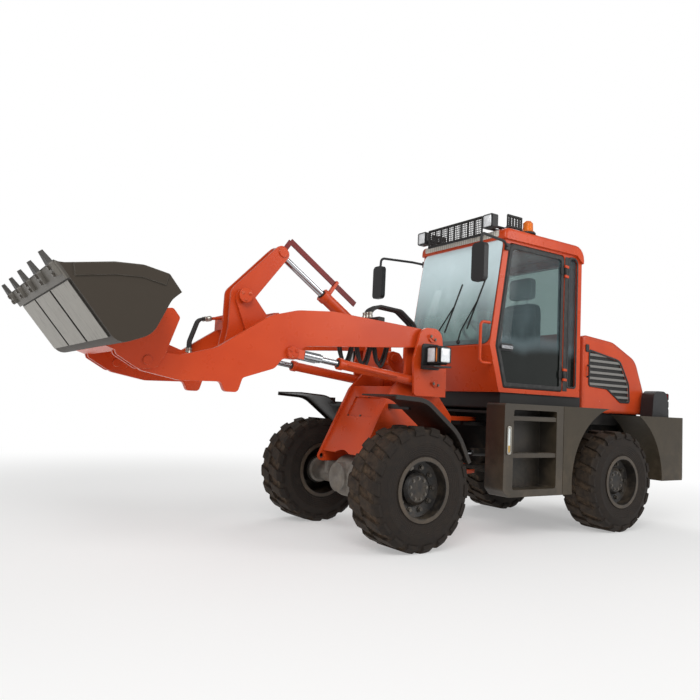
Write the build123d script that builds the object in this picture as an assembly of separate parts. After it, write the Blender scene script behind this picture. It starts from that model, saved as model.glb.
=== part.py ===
"""Small articulated wheel loader with a hollow cab, a Z-bar boom and a toothed bucket.

Millimetres, +X forward, +Y left, +Z up.  The machine is drawn with the front axle at x = 0 and
moved at the end so that its origin is the middle of its footprint, on the ground.
"""
import os
from math import cos, hypot, radians, sin, tan

from build123d import *

# Fits
PIN_CLEAR = 0.08
SEAT_GAP = 0.3
DOOR_GAP = 6.0

# Wheels and track
TYRE_R = 470.0
TYRE_W = 380.0
TREAD_DEPTH = 22.0
LUGS_PER_ROW = 18
LUG_LENGTH = 88.0
LUG_SLANT = 0.34
RIM_R = 228.7
RIM_WALL = 16.0
RIM_FLANGE = 16.0
TRACK = 1430.0
WHEELBASE = 2434.0
REAR_AXLE_X = -WHEELBASE
HUB_R = 125.0
HUB_LENGTH = 200.0
SPINDLE_R = 60.0

# Axles
AXLE_TUBE_R = 92.0
AXLE_BULB_R = 180.0
AXLE_PAD_TOP = 108.0
SHAFT_R = 42.0
SHAFT_RISE = 130.0

# Articulation
HINGE_X = -WHEELBASE / 2
HINGE_PIN_R = 40.0
EAR_T = 36.0
EAR_GAP = 8.0
EAR_LOW_Z = 490.0
EAR_HIGH_Z = 935.0
STEER_BASE = (HINGE_X - 245.0, 330.0)
STEER_EYE = (HINGE_X + 367.0, 230.0)
STEER_Z = 700.0
STEER_BARREL_R = 36.0
STEER_EYE_HALF = STEER_BARREL_R + 2.0
STEER_PIN_R = 22.0
STEER_EAR_T = 26.0
STEER_BARREL_LENGTH = 390.0
STEER_BORE_START = 55.0
STEER_ROD_START = 210.0
STEER_ROD_R = 20.0

# Front frame
FRAME_REAR = HINGE_X + 457.0
PLATE_OUT = 324.0
PLATE_T = 28.0
TOWER_IN = 420.0
TOWER_T = 25.0
BOOM_PIVOT = (-400.0, 1670.0)
BOOM_PIN_R = 36.0
LIFT_BASE = (-450.0, 1280.0)
LIFT_PIN_R = 26.0
TILT_BASE = (-280.0, 1500.0)
TIE_EYE = (172.0, 622.0)
TIE_EYE_R = 24.0

# Boom and linkage, points in the side view at rest
ARM_Y = 370.0
ARM_T = 44.0
LIFT_EYE = (907.0, 1442.0)
BUCKET_PIVOT = (1980.0, 1306.0)
BUCKET_PIN_R = 30.0
ROCKER_PIVOT = (1180.0, 1865.0)
ROCKER_TOP = (850.0, 2260.0)
ROCKER_LOW = (1280.0, 1260.0)
LINK_EYE = (1840.0, 1450.0)
LINK_PIN_R = 26.0
BOOM_TUBE = (1005.0, 1570.0)
BOOM_TUBE_R = 80.0
ROCKER_Y = 44.0
ROCKER_T = 20.0
BRACKET_T = 24.0
RUN_GAP = 3.0

# Cylinders
LIFT_BARREL_R = 40.0
LIFT_BARREL_LENGTH = 938.0
LIFT_ROD_R = 24.0
LIFT_ROD_START = 254.0
LIFT_FORK = 230.0
TILT_BARREL_R = 52.0
TILT_BARREL_LENGTH = 860.0
TILT_ROD_R = 29.0
LEVEL_OFFSET = 150.0
LEVEL_BAR = (46.0, 12.0)

# Oil lines on the boom
ARM_CREST = (560.0, 1790.0)
ARM_ROOT = 76.0
ARM_ROOT_TOP = 66.0
HOSE_R = 13.0
HOSE_BEND = 80.0
HOSE_Y = (150.0, 192.0, 234.0)
HOSE_SADDLE_X = 95.0
HOSE_SADDLE_L = 64.0
HOSE_SADDLE_H = 34.0
SWIVEL_R = 42.0
PIPE_R = 11.0
PIPE_Y = (262.0, 302.0)
PIPE_REAR = (720.0, 1794.0)
PIPE_FRONT = (1310.0, 1703.0)
HOSE_END = (1450.0, 1390.0)
LINE_R = 8.0
LINE_START = 390.0

# Bucket, in its own side view: u along the floor towards the teeth, n up from the floor
BUCKET_HEEL = (2285.0, 1360.0)
BUCKET_ANGLE = 50.6
BUCKET_HALF = 840.0
BUCKET_WALL = 16.0
BUCKET_FLOOR = 554.0
BUCKET_TOP = 498.0
EDGE_T = 22.0
TOOTH_COUNT = 5
TOOTH_REACH = 98.0
TOOTH_W = 105.0
TOOTH_T = 24.0
COUPLER_T = 24.0

# Rear frame
CHASSIS_LOW = 420.0
CHASSIS_TOP = 1060.0
BULKHEAD_X = HINGE_X - 303.0
BULKHEAD_HALF = PLATE_OUT + 94.0
CHASSIS_REAR = REAR_AXLE_X - 746.0
DECK_T = 20.0
DECK_FRONT = HINGE_X + 87.0
DECK_HALF = 480.0
GEARBOX_REAR = REAR_AXLE_X + 454.0
GEARBOX_FRONT = BULKHEAD_X - 120.0
PANEL_Y = 860.0
PANEL_TOP = 1150.0
PANEL_LOW = 375.0
BOX_IN = 650.0
BOX_FRONT = HINGE_X + 352.0
BOX_REAR = REAR_AXLE_X + 827.0
FENDER_IN = DECK_HALF + 60.0
SEAM = 6.0
ARCH_R = 700.0
WEIGHT_REAR = REAR_AXLE_X - 1123.0
WEIGHT_BOW = 70.0
WEIGHT_TOP = 1100.0
WEIGHT_LOW = 460.0
HITCH_SEAT = WEIGHT_REAR + 40.0
HITCH_PIN_X = WEIGHT_REAR - WEIGHT_BOW - 60.0
HITCH_PIN_R = 17.0
HITCH_Z = 660.0
HITCH_HALF = 70.0
HITCH_MOUTH = 35.0

# Cab
CAB_FLOOR = 1250.0
CAB_TOP = 2650.0
CAB_HALF = 560.0
CAB_WALL = 45.0
CAB_REAR = HINGE_X - 989.0
CAB_KNEE = (HINGE_X + 245.0, 1657.0)
CAB_TOE = HINGE_X + 119.0
CAB_BROW = HINGE_X + 91.0
MIRROR_X = CAB_BROW + 436.0
ROOF_H = 88.0
ROOF_LIP = 30.0
VISOR_HALF = 370.0
GUARD_BARS = 9
GUARD_RAIL_R = 13.0
GUARD_BAR_R = 9.0
SIDE_GUARD_Y = CAB_HALF - 36.0
SIDE_GUARD_BARS = 6
GLASS_T = 6.0
DOOR_REAR = CAB_REAR + 258.0
DOOR_LOW = 1290.0
DOOR_HEAD = 40.0
DOOR_TOP = CAB_TOP - DOOR_HEAD
QUARTER_LOW = DOOR_LOW + 40.0
DOOR_HINGE_Y = CAB_HALF + 14.0
DOOR_KNUCKLES = (1420.0, 2420.0)
DOOR_KNUCKLE_R = 13.0
DOOR_KNUCKLE_H = 70.0
HINGE_LUG_H = 24.0

# Hood
HOOD_HALF = 520.0
HOOD_WALL = 14.0
HOOD_FRONT = CAB_REAR - 94.0
HOOD_REAR = REAR_AXLE_X - 912.0
HOOD_LOW = 1112.0
HOOD_TOP = 1878.0
HOOD_HINGE = (HOOD_REAR - 28.0, 1135.0)
HOOD_HINGE_Y = 330.0
HOOD_KNUCKLE_R = 16.0
HOOD_KNUCKLE_W = 80.0
SLAT_COUNT = 8
FIN_COUNT = 9


def outline(rows):
    """Closed wire edges in a plane from rows of (a, b, corner radius)."""
    count = len(rows)
    starts = []
    for i, (a, b, r) in enumerate(rows):
        here = Vector(a, b)
        if r == 0:
            starts.append((here, here, here))
            continue
        back = Vector(*rows[i - 1][:2]) - here
        ahead = Vector(*rows[(i + 1) % count][:2]) - here
        half = radians(back.get_angle(ahead)) / 2
        reach = r / tan(half)
        into = here + back.normalized() * reach
        out = here + ahead.normalized() * reach
        middle = (back.normalized() + ahead.normalized()).normalized()
        top = here + middle * (r / sin(half) - r)
        starts.append((into, top, out))
    edges = []
    for i, (into, top, out) in enumerate(starts):
        after = starts[(i + 1) % count][0]
        if (out - into).length > 1e-6:
            edges.append(ThreePointArc(into, top, out))
        if (after - out).length > 1e-6:
            edges.append(Line(out, after))
    return edges


def flat(rows):
    """Face in the XY plane from outline rows."""
    return make_face(outline(rows))


def slab(rows, y0, y1):
    """Plate with a side-view outline of (x, z, corner radius) rows, from y0 to y1."""
    face = Plane.XZ.offset(-y1) * flat(rows)
    return extrude(face, amount=y1 - y0, dir=(0, -1, 0))


def deck(rows, z0, z1):
    """Plate with a plan outline of (x, y, corner radius) rows, from z0 to z1."""
    return extrude(Pos(0, 0, z0) * flat(rows), amount=z1 - z0, dir=(0, 0, 1))


def wall(rows, x0, x1):
    """Plate with a front-view outline of (y, z, corner radius) rows, from x0 to x1."""
    return extrude(Plane.YZ.offset(x0) * flat(rows), amount=x1 - x0, dir=(1, 0, 0))


def block(x0, x1, y0, y1, z0, z1):
    """Box between two corners."""
    middle = Pos((x0 + x1) / 2, (y0 + y1) / 2, (z0 + z1) / 2)
    return middle * Box(abs(x1 - x0), abs(y1 - y0), abs(z1 - z0))


def bar(start, end, radius):
    """Round bar between two points."""
    span = Vector(*end) - Vector(*start)
    return extrude(Plane(start, z_dir=span) * Circle(radius), amount=span.length)


def cross(point, radius, y0, y1):
    """Round bar along Y through a side-view point."""
    return bar((point[0], y0, point[1]), (point[0], y1, point[1]), radius)


def bent(points, radius, bend):
    """Round tube along a bent path."""
    path = FilletPolyline(*points, radius=bend)
    return sweep(Plane(path @ 0, z_dir=path % 0) * Circle(radius), path=path)


def ring(rows):
    """Turned piece about Y from (radius, y) rows."""
    face = make_face(Polyline(*rows, close=True))
    return revolve(face, axis=Axis.Y)


def thick(rows, depth):
    """Outline rows of a strip: the path's rows and back along its right-hand side."""
    back = []
    last = len(rows) - 1
    for i, (a, b, r) in enumerate(rows):
        here = Vector(a, b)
        ways = []
        if i > 0:
            ways.append((here - Vector(*rows[i - 1][:2])).normalized())
        if i < last:
            ways.append((Vector(*rows[i + 1][:2]) - here).normalized())
        sides = [Vector(way.Y, -way.X) for way in ways]
        side = sum(sides[1:], sides[0]).normalized()
        shift = side * (depth / side.dot(sides[0]))
        turn = 0 if len(ways) < 2 else ways[0].cross(ways[1]).Z
        inner = r
        if r > 0:
            inner = max(r + (depth if turn > 0 else -depth), 0)
        back.append((here.X + shift.X, here.Y + shift.Y, inner))
    return rows + back[::-1]


def both(shape):
    """The shape and its mirror image across the machine's middle plane."""
    return [shape, mirror(shape, about=Plane.XZ)]


def along(start, end, distance):
    """Side-view point on the way from start to end."""
    length = hypot(end[0] - start[0], end[1] - start[1])
    t = distance / length
    return (start[0] + (end[0] - start[0]) * t, start[1] + (end[1] - start[1]) * t)


def beside(start, end, distance, offset):
    """Side-view point along a line and offset to its upper side."""
    base = along(start, end, distance)
    length = hypot(end[0] - start[0], end[1] - start[1])
    return (base[0] - (end[1] - start[1]) / length * offset, base[1] + (end[0] - start[0]) / length * offset)


def fused(first, *others):
    """One piece from several."""
    return first.fuse(*others) if others else first


nodes = {}


def tyre():
    """Low wide tyre with two staggered rows of slanted lugs."""
    half = TYRE_W / 2
    bead = half - 24
    base = TYRE_R - TREAD_DEPTH
    shoulder = half - 34
    side = (RIM_R + TYRE_R) / 2
    carcass = ring(
        [
            (RIM_R + SEAT_GAP, -bead),
            (side, -half),
            (base, -shoulder),
            (base, shoulder),
            (side, half),
            (RIM_R + SEAT_GAP, bead),
        ]
    )
    crown = ring(
        [
            (base - 12, 6),
            (TYRE_R, 6),
            (TYRE_R, shoulder - 6),
            (base - 14, half - 6),
            (base - 40, half - 12),
        ]
    )
    stem = Plane.XZ.offset(-6) * Pos(0, TYRE_R - 45) * Rectangle(LUG_LENGTH, 110)
    slanted = extrude(stem, amount=half, dir=Vector(LUG_SLANT, 1, 0).normalized())
    lug = crown & slanted
    pitch = 360.0 / LUGS_PER_ROW
    lugs = []
    for i in range(LUGS_PER_ROW):
        lugs.append(Rot(0, i * pitch, 0) * lug)
        lugs.append(Rot(0, (i + 0.5) * pitch, 0) * Rot(0, 0, 180) * Rot(0, 180, 0) * lug)
    return fused(carcass, *lugs)


def rim():
    """Drop-centre rim with a dished disc on a planetary hub; +Y is outboard."""
    edge = TYRE_W / 2 - 24
    inside = RIM_R - RIM_WALL
    lip = edge + 14
    barrel = ring([(inside, -lip), (RIM_R, -lip), (RIM_R, lip), (inside, lip)])
    flanges = []
    for side in (-1, 1):
        rows = [
            (inside + 4, side * (lip - 8)),
            (RIM_R + RIM_FLANGE, side * (lip - 8)),
            (RIM_R + RIM_FLANGE, side * lip),
            (inside + 4, side * lip),
        ]
        flanges.append(ring(rows))
    dish = ring([(HUB_R - 10, 30), (HUB_R - 10, 52), (inside + 2, 82), (inside + 2, 60)])
    hub = ring(
        [
            (SPINDLE_R + PIN_CLEAR, 110 - HUB_LENGTH),
            (HUB_R, 110 - HUB_LENGTH),
            (HUB_R, 86),
            (HUB_R - 26, 110),
            (0, 110),
            (0, 74),
            (SPINDLE_R + PIN_CLEAR, 74),
        ]
    )
    return fused(barrel, *flanges, dish, hub)


def axle():
    """Drive axle about Y: centre bulb, tubes, spindles, frame pads and the pinion nose behind it."""
    end = TRACK / 2 + 110 - HUB_LENGTH - 8
    tip = TRACK / 2 + 68
    rows = [(0, -tip), (SPINDLE_R, -tip), (SPINDLE_R, -end), (AXLE_TUBE_R + 22, -end)]
    rows += [(AXLE_TUBE_R + 22, -end + 26), (AXLE_TUBE_R, -end + 26), (AXLE_TUBE_R, -235)]
    rows += [(AXLE_BULB_R, -120), (AXLE_BULB_R, 120), (AXLE_TUBE_R, 235)]
    rows += [(AXLE_TUBE_R, end - 26), (AXLE_TUBE_R + 22, end - 26)]
    rows += [(AXLE_TUBE_R + 22, end), (SPINDLE_R, end), (SPINDLE_R, tip), (0, tip)]
    casing = ring(rows)
    inner = PLATE_OUT - PLATE_T
    pad = block(-115, 115, inner - 20, PLATE_OUT + 12, 0, AXLE_PAD_TOP)
    nose = bar((-AXLE_BULB_R + 40, 0, 0), (-AXLE_BULB_R - 130, 0, SHAFT_RISE / 2), 78)
    cover = bar((AXLE_BULB_R - 60, 0, 0), (AXLE_BULB_R + 22, 0, 0), 120)
    return fused(casing, *both(pad), nose, cover)


def wheel_places():
    """Name, axle position and side of each wheel."""
    return [
        ("front_left", 0.0, 1),
        ("front_right", 0.0, -1),
        ("rear_left", REAR_AXLE_X, 1),
        ("rear_right", REAR_AXLE_X, -1),
    ]


def wheels():
    """Tyres and rims at their four places; the right-hand ones face the other way."""
    one_tyre = tyre()
    one_rim = rim()
    for name, x, side in wheel_places():
        place = Pos(x, side * TRACK / 2, TYRE_R) * Rot(0, 0, 0 if side > 0 else 180)
        nodes["tyre_" + name] = place * one_tyre
        nodes["rim_" + name] = place * one_rim


def axles():
    """Both axles with the drive shafts that reach towards the articulation."""
    casing = axle()
    nose_x = -AXLE_BULB_R - 118
    front_shaft = bar((nose_x, 0, TYRE_R + SHAFT_RISE / 2), (HINGE_X + 215, 0, TYRE_R + SHAFT_RISE), SHAFT_R)
    nodes["front_axle"] = fused(Pos(0, 0, TYRE_R) * casing, front_shaft)
    rear = Pos(REAR_AXLE_X, 0, TYRE_R) * Rot(0, 0, 180) * casing
    rear_shaft = bar(
        (REAR_AXLE_X - nose_x, 0, TYRE_R + SHAFT_RISE / 2),
        (GEARBOX_REAR - SEAT_GAP, 0, TYRE_R + SHAFT_RISE / 2),
        SHAFT_R,
    )
    nodes["rear_axle"] = fused(rear, rear_shaft)


def hinge_ear(z, base_x, base_half):
    """Tapered plate from a bulkhead to the articulation pin."""
    nose = 92.0
    tip = HINGE_X + (nose if base_x < HINGE_X else -nose)
    rows = [
        (base_x, -base_half, 0),
        (base_x, base_half, 0),
        (tip, nose, nose * 0.7),
        (tip, -nose, nose * 0.7),
    ]
    return deck(rows, z, z + EAR_T)


def front_frame():
    """Both sides of the front frame: a plate that rises to the boom tower, with the boom and lift pins."""
    pad_z = TYRE_R + AXLE_PAD_TOP
    inner = PLATE_OUT - PLATE_T
    rear_x = FRAME_REAR
    side_rows = [
        (-140, pad_z, 0),
        (232, pad_z, 42),
        (-92, 1225, 60),
        (-226, 1360, 60),
        (-250, 1752, 105),
        (-520, 1752, 105),
        (-600, 1190, 80),
        (rear_x, EAR_HIGH_Z + 2 * EAR_T + EAR_GAP, 40),
        (rear_x, EAR_LOW_Z, 0),
        (-330, EAR_LOW_Z, 40),
    ]
    plate = slab(side_rows, inner, PLATE_OUT)
    plate -= cross(TIE_EYE, TIE_EYE_R, inner - 1, PLATE_OUT + 1)
    tower_rows = [
        (-560, 1176, 0),
        (-232, 1176, 30),
        (-214, 1470, 120),
        (-290, 1752, 95),
        (-505, 1752, 95),
        (-560, 1420, 60),
    ]
    tower = slab(tower_rows, TOWER_IN, TOWER_IN + TOWER_T)
    shelf = block(-560, LIFT_BASE[0] + 70, PLATE_OUT - 4, TOWER_IN + TOWER_T, 1176, 1200)
    back = block(-575, -553, PLATE_OUT - 4, TOWER_IN + TOWER_T, 1176, 1440)
    boom_pin = cross(BOOM_PIVOT, BOOM_PIN_R, inner, TOWER_IN + TOWER_T + 14)
    lift_pin = cross(LIFT_BASE, LIFT_PIN_R, inner, TOWER_IN + TOWER_T + 10)
    return both(fused(plate, tower, shelf, back, boom_pin, lift_pin))


def frame_cross():
    """Members welded between the frame's sides: front plate, articulation bulkhead and tilt cylinder tube."""
    inner = PLATE_OUT - PLATE_T
    rear_x = FRAME_REAR
    # Sloped front plate, arched over the axle bulb and open near its top
    front_rows = thick([(-150, 1240, 0), (160, 640, 0)], -18)
    front = slab(front_rows, -inner, inner)
    front -= bar((-400, 0, TYRE_R), (400, 0, TYRE_R), AXLE_BULB_R + 45)
    front -= block(-300, 200, -190, 190, 980, 1150)
    front -= cross(TIE_EYE, 2 * TIE_EYE_R, -PLATE_OUT, PLATE_OUT)
    bulkhead_top = EAR_HIGH_Z + 2 * EAR_T + EAR_GAP
    bulkhead = block(rear_x, rear_x + 26, -inner, inner, EAR_LOW_Z, bulkhead_top)
    shaft_z = TYRE_R + SHAFT_RISE
    bulkhead -= bar((rear_x - 50, 0, shaft_z), (rear_x + 50, 0, shaft_z), SHAFT_R + 40)
    # The front frame's ears lie outside the rear frame's pair
    low = hinge_ear(EAR_LOW_Z, rear_x + 2, inner)
    high = hinge_ear(EAR_HIGH_Z + EAR_T + EAR_GAP, rear_x + 2, inner)
    low_pin = bar((HINGE_X, 0, EAR_LOW_Z), (HINGE_X, 0, EAR_LOW_Z + 2 * EAR_T + EAR_GAP), HINGE_PIN_R)
    high_pin = bar((HINGE_X, 0, EAR_HIGH_Z), (HINGE_X, 0, EAR_HIGH_Z + 2 * EAR_T + EAR_GAP), HINGE_PIN_R)
    # Cross tube with the ears of the tilt cylinder
    tube_at = (-520.0, 1290.0)
    tube = cross(tube_at, 56, -inner, inner)
    ear_rows = [
        (tube_at[0] - 70, tube_at[1] - 40, 30),
        (tube_at[0] + 40, tube_at[1] - 60, 30),
        (TILT_BASE[0] + 66, TILT_BASE[1] - 40, 40),
        (TILT_BASE[0] + 40, TILT_BASE[1] + 66, 40),
        (TILT_BASE[0] - 60, TILT_BASE[1] + 50, 40),
    ]
    ear_in = TILT_BARREL_R + 12
    ear = slab(ear_rows, ear_in, ear_in + 24)
    stub = cross(TILT_BASE, 34, ear_in, ear_in + 40)
    steer_lugs = []
    eye_x, eye_y = STEER_EYE
    for z in (STEER_Z - STEER_EYE_HALF - RUN_GAP - STEER_EAR_T, STEER_Z + STEER_EYE_HALF + RUN_GAP):
        lug = block(eye_x - 45, rear_x + 4, eye_y - 40, eye_y + 40, z, z + STEER_EAR_T)
        steer_lugs += both(lug)
    hinge = fused(bulkhead, low, high, low_pin, high_pin, *steer_lugs)
    tilt_seat = fused(tube, *both(ear), *both(stub))
    return [front, hinge, tilt_seat]


def front_fenders():
    """Bent plate fenders over the front tyres, carried on brackets from the towers."""
    rows = [(312, 1168, 0), (20, 1152, 260), (-325, 900, 420), (-448, 676, 0)]
    skin_in = PLATE_OUT + 150
    skin = slab(thick(rows, -12), skin_in, TRACK / 2 + TYRE_W / 2)
    lip = slab(thick(rows, -34), TRACK / 2 + TYRE_W / 2 - 2, TRACK / 2 + TYRE_W / 2 + 10)
    arm = block(-110, -60, PLATE_OUT + SEAT_GAP, skin_in + 120, 1060, 1100)
    stay = block(-110, -60, skin_in + 90, skin_in + 120, 1060, 1136)
    return fused(skin, lip, arm, stay)


def headlamps():
    """Boxed lamps on plate brackets outside the towers."""
    y0 = TOWER_IN + TOWER_T + SEAT_GAP
    arm = block(-430, -290, y0, y0 + 60, 1400, 1416)
    guard = slab([(-440, 1396, 20), (-250, 1396, 20), (-250, 1610, 30), (-440, 1610, 30)], y0 + 52, y0 + 66)
    floor = block(-430, -250, y0 + 52, y0 + 220, 1412, 1426)
    lamp = wall(
        [(y0 + 72, 1438, 24), (y0 + 212, 1438, 24), (y0 + 212, 1590, 24), (y0 + 72, 1590, 24)], -400, -296
    )
    foot = block(-370, -330, y0 + 120, y0 + 160, 1420, 1450)
    return fused(arm, guard, floor, lamp, foot)


def lift_arm_rows():
    """Side-view outline of one boom arm: (x, z, corner radius)."""
    tip = BUCKET_PIVOT
    root = BOOM_PIVOT
    eye = LIFT_EYE
    return [
        (tip[0] + 66, tip[1] + 62, 60),
        (tip[0] - 230, tip[1] + 54, 120),
        (1500, 1428, 260),
        (1090, 1702, 300),
        (870, 1764, 300),
        ARM_CREST + (400,),
        (root[0] - ARM_ROOT, root[1] + ARM_ROOT_TOP, 66),
        (root[0] - ARM_ROOT, root[1] - 70, 66),
        (-190, 1574, 200),
        (eye[0] - 90, eye[1] + 56, 80),
        (eye[0] - 52, eye[1] - 52, 46),
        (eye[0] + 70, eye[1] - 46, 60),
        (1040, 1316, 80),
        (1290, 1232, 30),
        (1322, 1128, 34),
        (1420, 1128, 34),
        (1452, 1196, 30),
        (tip[0] - 230, tip[1] - 118, 140),
        (tip[0] + 66, tip[1] - 62, 60),
    ]


def boom():
    """The two plate arms of the boom."""
    inner = ARM_Y - ARM_T / 2
    arm = slab(lift_arm_rows(), inner, inner + ARM_T)
    arm -= cross(BOOM_PIVOT, BOOM_PIN_R + PIN_CLEAR, inner - 1, inner + ARM_T + 1)
    arm -= cross(BUCKET_PIVOT, BUCKET_PIN_R + PIN_CLEAR, inner - 1, inner + ARM_T + 1)
    return both(arm)


def boom_tube():
    """Cross tube welded between the arms, with the two plates that carry the rocker's pin."""
    inner = ARM_Y - ARM_T / 2
    tube = cross(BOOM_TUBE, BOOM_TUBE_R, -inner, inner)
    y0 = ROCKER_Y + ROCKER_T + RUN_GAP
    pivot = ROCKER_PIVOT
    rows = [
        (BOOM_TUBE[0] - 112, BOOM_TUBE[1] - 60, 60),
        (BOOM_TUBE[0] + 96, BOOM_TUBE[1] - 78, 60),
        (pivot[0] + 66, pivot[1] - 30, 60),
        (pivot[0] + 40, pivot[1] + 66, 56),
        (pivot[0] - 60, pivot[1] + 40, 56),
        (BOOM_TUBE[0] - 112, BOOM_TUBE[1] + 70, 60),
    ]
    bracket = slab(rows, y0, y0 + BRACKET_T)
    pin = cross(pivot, LINK_PIN_R + 4, -y0 - BRACKET_T - 12, y0 + BRACKET_T + 12)
    return fused(tube, *both(bracket), pin)


def arm_top(x):
    """Height of the arms' straight upper edge between the boom pivot and the crest."""
    low = (BOOM_PIVOT[0] - ARM_ROOT, BOOM_PIVOT[1] + ARM_ROOT_TOP)
    return low[1] + (x - low[0]) * (ARM_CREST[1] - low[1]) / (ARM_CREST[0] - low[0])


def boom_hoses():
    """Three hose loops from the boom pivot to the left arm, and two from the pipes to the right arm."""
    inner = ARM_Y - ARM_T / 2
    swivel = cross(BOOM_PIVOT, SWIVEL_R, HOSE_Y[0] - 2 * HOSE_R, PLATE_OUT - PLATE_T - SEAT_GAP)
    x = HOSE_SADDLE_X
    half = HOSE_SADDLE_L / 2
    rows = [
        (x - half, arm_top(x - half), 0),
        (x + half, arm_top(x + half), 0),
        (x + half, arm_top(x + half) + HOSE_SADDLE_H, 8),
        (x - half, arm_top(x - half) + HOSE_SADDLE_H, 8),
    ]
    saddle = slab(rows, HOSE_Y[0] - 2 * HOSE_R, inner + ARM_T)
    loops = []
    for y in HOSE_Y:
        points = [
            (BOOM_PIVOT[0], y, BOOM_PIVOT[1]),
            (BOOM_PIVOT[0] + 10, y, BOOM_PIVOT[1] + 120),
            (x - 325, y, BOOM_PIVOT[1] + 230),
            (x - 95, y, BOOM_PIVOT[1] + 245),
            (x, y, BOOM_PIVOT[1] + 195),
            (x, y, arm_top(x) + HOSE_SADDLE_H / 2),
        ]
        loops.append(bent(points, HOSE_R, HOSE_BEND))
    near = fused(swivel, saddle, *loops)
    start = PIPE_FRONT
    end = HOSE_END
    drops = []
    for y in PIPE_Y:
        way = (PIPE_FRONT[0] - PIPE_REAR[0], PIPE_FRONT[1] - PIPE_REAR[1])
        lead = HOSE_BEND / hypot(*way)
        points = [
            (start[0], -y, start[1]),
            (start[0] + way[0] * lead, -y, start[1] + way[1] * lead),
            (end[0], -y, end[1] + HOSE_BEND + 40),
            (end[0], -y, end[1]),
        ]
        drops.append(bent(points, HOSE_R, HOSE_BEND * 0.7))
    foot_x = (end[0] - 2 * HOSE_R, end[0] + 2 * HOSE_R)
    foot_y = (-inner, -PIPE_Y[0] + 2 * HOSE_R)
    foot = block(*foot_x, *foot_y, end[1] - 2 * HOSE_R, end[1] + HOSE_R)
    return [near, fused(foot, *drops)]


def boom_pipes():
    """Two steel pipes over the right arm, in a clamp on its crest and on a post near the front."""
    inner = ARM_Y - ARM_T / 2
    outer = inner + ARM_T
    rear = PIPE_REAR
    front = PIPE_FRONT
    pipes = [bar((rear[0], -y, rear[1]), (front[0], -y, front[1]), PIPE_R) for y in PIPE_Y]
    crest, fall, toe = lift_arm_rows()[5], lift_arm_rows()[4], lift_arm_rows()[2]

    def pipe_z(x):
        return rear[1] + (x - rear[0]) * (front[1] - rear[1]) / (front[0] - rear[0])

    def edge_z(x, first, second):
        return first[1] + (x - first[0]) * (second[1] - first[1]) / (second[0] - first[0])

    x0 = rear[0] - 20
    x1 = rear[0] + 40
    clamp_rows = [
        (x0, edge_z(x0, crest, fall), 0),
        (x1, edge_z(x1, crest, fall), 0),
        (x1, pipe_z(x1) + 2 * PIPE_R, 6),
        (x0, pipe_z(x0) + 2 * PIPE_R, 6),
    ]
    clamp = slab(clamp_rows, -outer, -PIPE_Y[0] + 2 * PIPE_R)
    knee = lift_arm_rows()[3]
    x0 = front[0] - 130
    x1 = front[0] - 106
    post_rows = [
        (x0, edge_z(x0, knee, toe), 0),
        (x1, edge_z(x1, knee, toe), 0),
        (x1, pipe_z(x1) + 2 * PIPE_R, 6),
        (x0, pipe_z(x0) + 2 * PIPE_R, 6),
    ]
    post = slab(post_rows, -outer, -PIPE_Y[0] + 2 * PIPE_R)
    return fused(clamp, post, *pipes)


def rocker():
    """Two cranked plates joined by the bosses of their pins."""
    pivot = ROCKER_PIVOT
    top = ROCKER_TOP
    low = ROCKER_LOW
    rows = [
        (top[0] + 10, top[1] + 74, 56),
        (top[0] + 82, top[1] + 6, 50),
        (pivot[0] + 96, pivot[1] + 42, 90),
        (pivot[0] + 100, 1620, 120),
        (low[0] + 62, low[1] + 20, 46),
        (low[0] + 20, low[1] - 62, 46),
        (low[0] - 62, low[1] - 20, 46),
        (pivot[0] - 30, 1640, 120),
        (pivot[0] - 100, pivot[1] - 10, 90),
        (top[0] - 70, top[1] - 10, 50),
    ]
    plate = slab(rows, ROCKER_Y, ROCKER_Y + ROCKER_T)
    boss = cross(pivot, LINK_PIN_R + 34, -ROCKER_Y - 1, ROCKER_Y + 1)
    cap = cross(top, LINK_PIN_R + 12, ROCKER_Y + ROCKER_T - 1, ROCKER_Y + ROCKER_T + 12)
    low_pin = cross(low, LINK_PIN_R, -ROCKER_Y - ROCKER_T - 2, ROCKER_Y + ROCKER_T + 2)
    bored = cross(pivot, LINK_PIN_R + 4 + PIN_CLEAR, -ROCKER_Y - ROCKER_T - 1, ROCKER_Y + ROCKER_T + 1)
    return fused(plate, mirror(plate, about=Plane.XZ), boss, *both(cap), low_pin) - bored


def tilt_link():
    """Straight bar with an eye at each end, between the rocker's foot and the coupler."""
    half = ROCKER_Y - RUN_GAP
    start = ROCKER_LOW
    end = LINK_EYE
    inset = 4
    web = slab(
        thick([beside(start, end, inset, 36) + (0,), beside(end, start, inset, -36) + (0,)], 72), -half, half
    )
    eyes = [cross(point, 56, -half, half) for point in (start, end)]
    bored = [cross(point, LINK_PIN_R + PIN_CLEAR, -half - 1, half + 1) for point in (start, end)]
    return fused(web, *eyes) - bored[0] - bored[1]


def bucket_point(u, n):
    """Side-view point from the bucket's own floor coordinates."""
    angle = radians(BUCKET_ANGLE)
    x = BUCKET_HEEL[0] + u * cos(angle) - n * sin(angle)
    z = BUCKET_HEEL[1] + u * sin(angle) + n * cos(angle)
    return (x, z)


def bucket_rows(rows):
    """Side-view rows from rows in the bucket's floor coordinates."""
    return [bucket_point(u, n) + (r,) for u, n, r in rows]


def bucket_back(offset):
    """Rows of the bucket's rounded back, moved in by an offset, from heel to spill guard."""
    return [
        (offset, offset, 90 - offset),
        (-66 + offset, 200, 150 - offset),
        (40 + offset, 420, 120),
    ]


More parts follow.
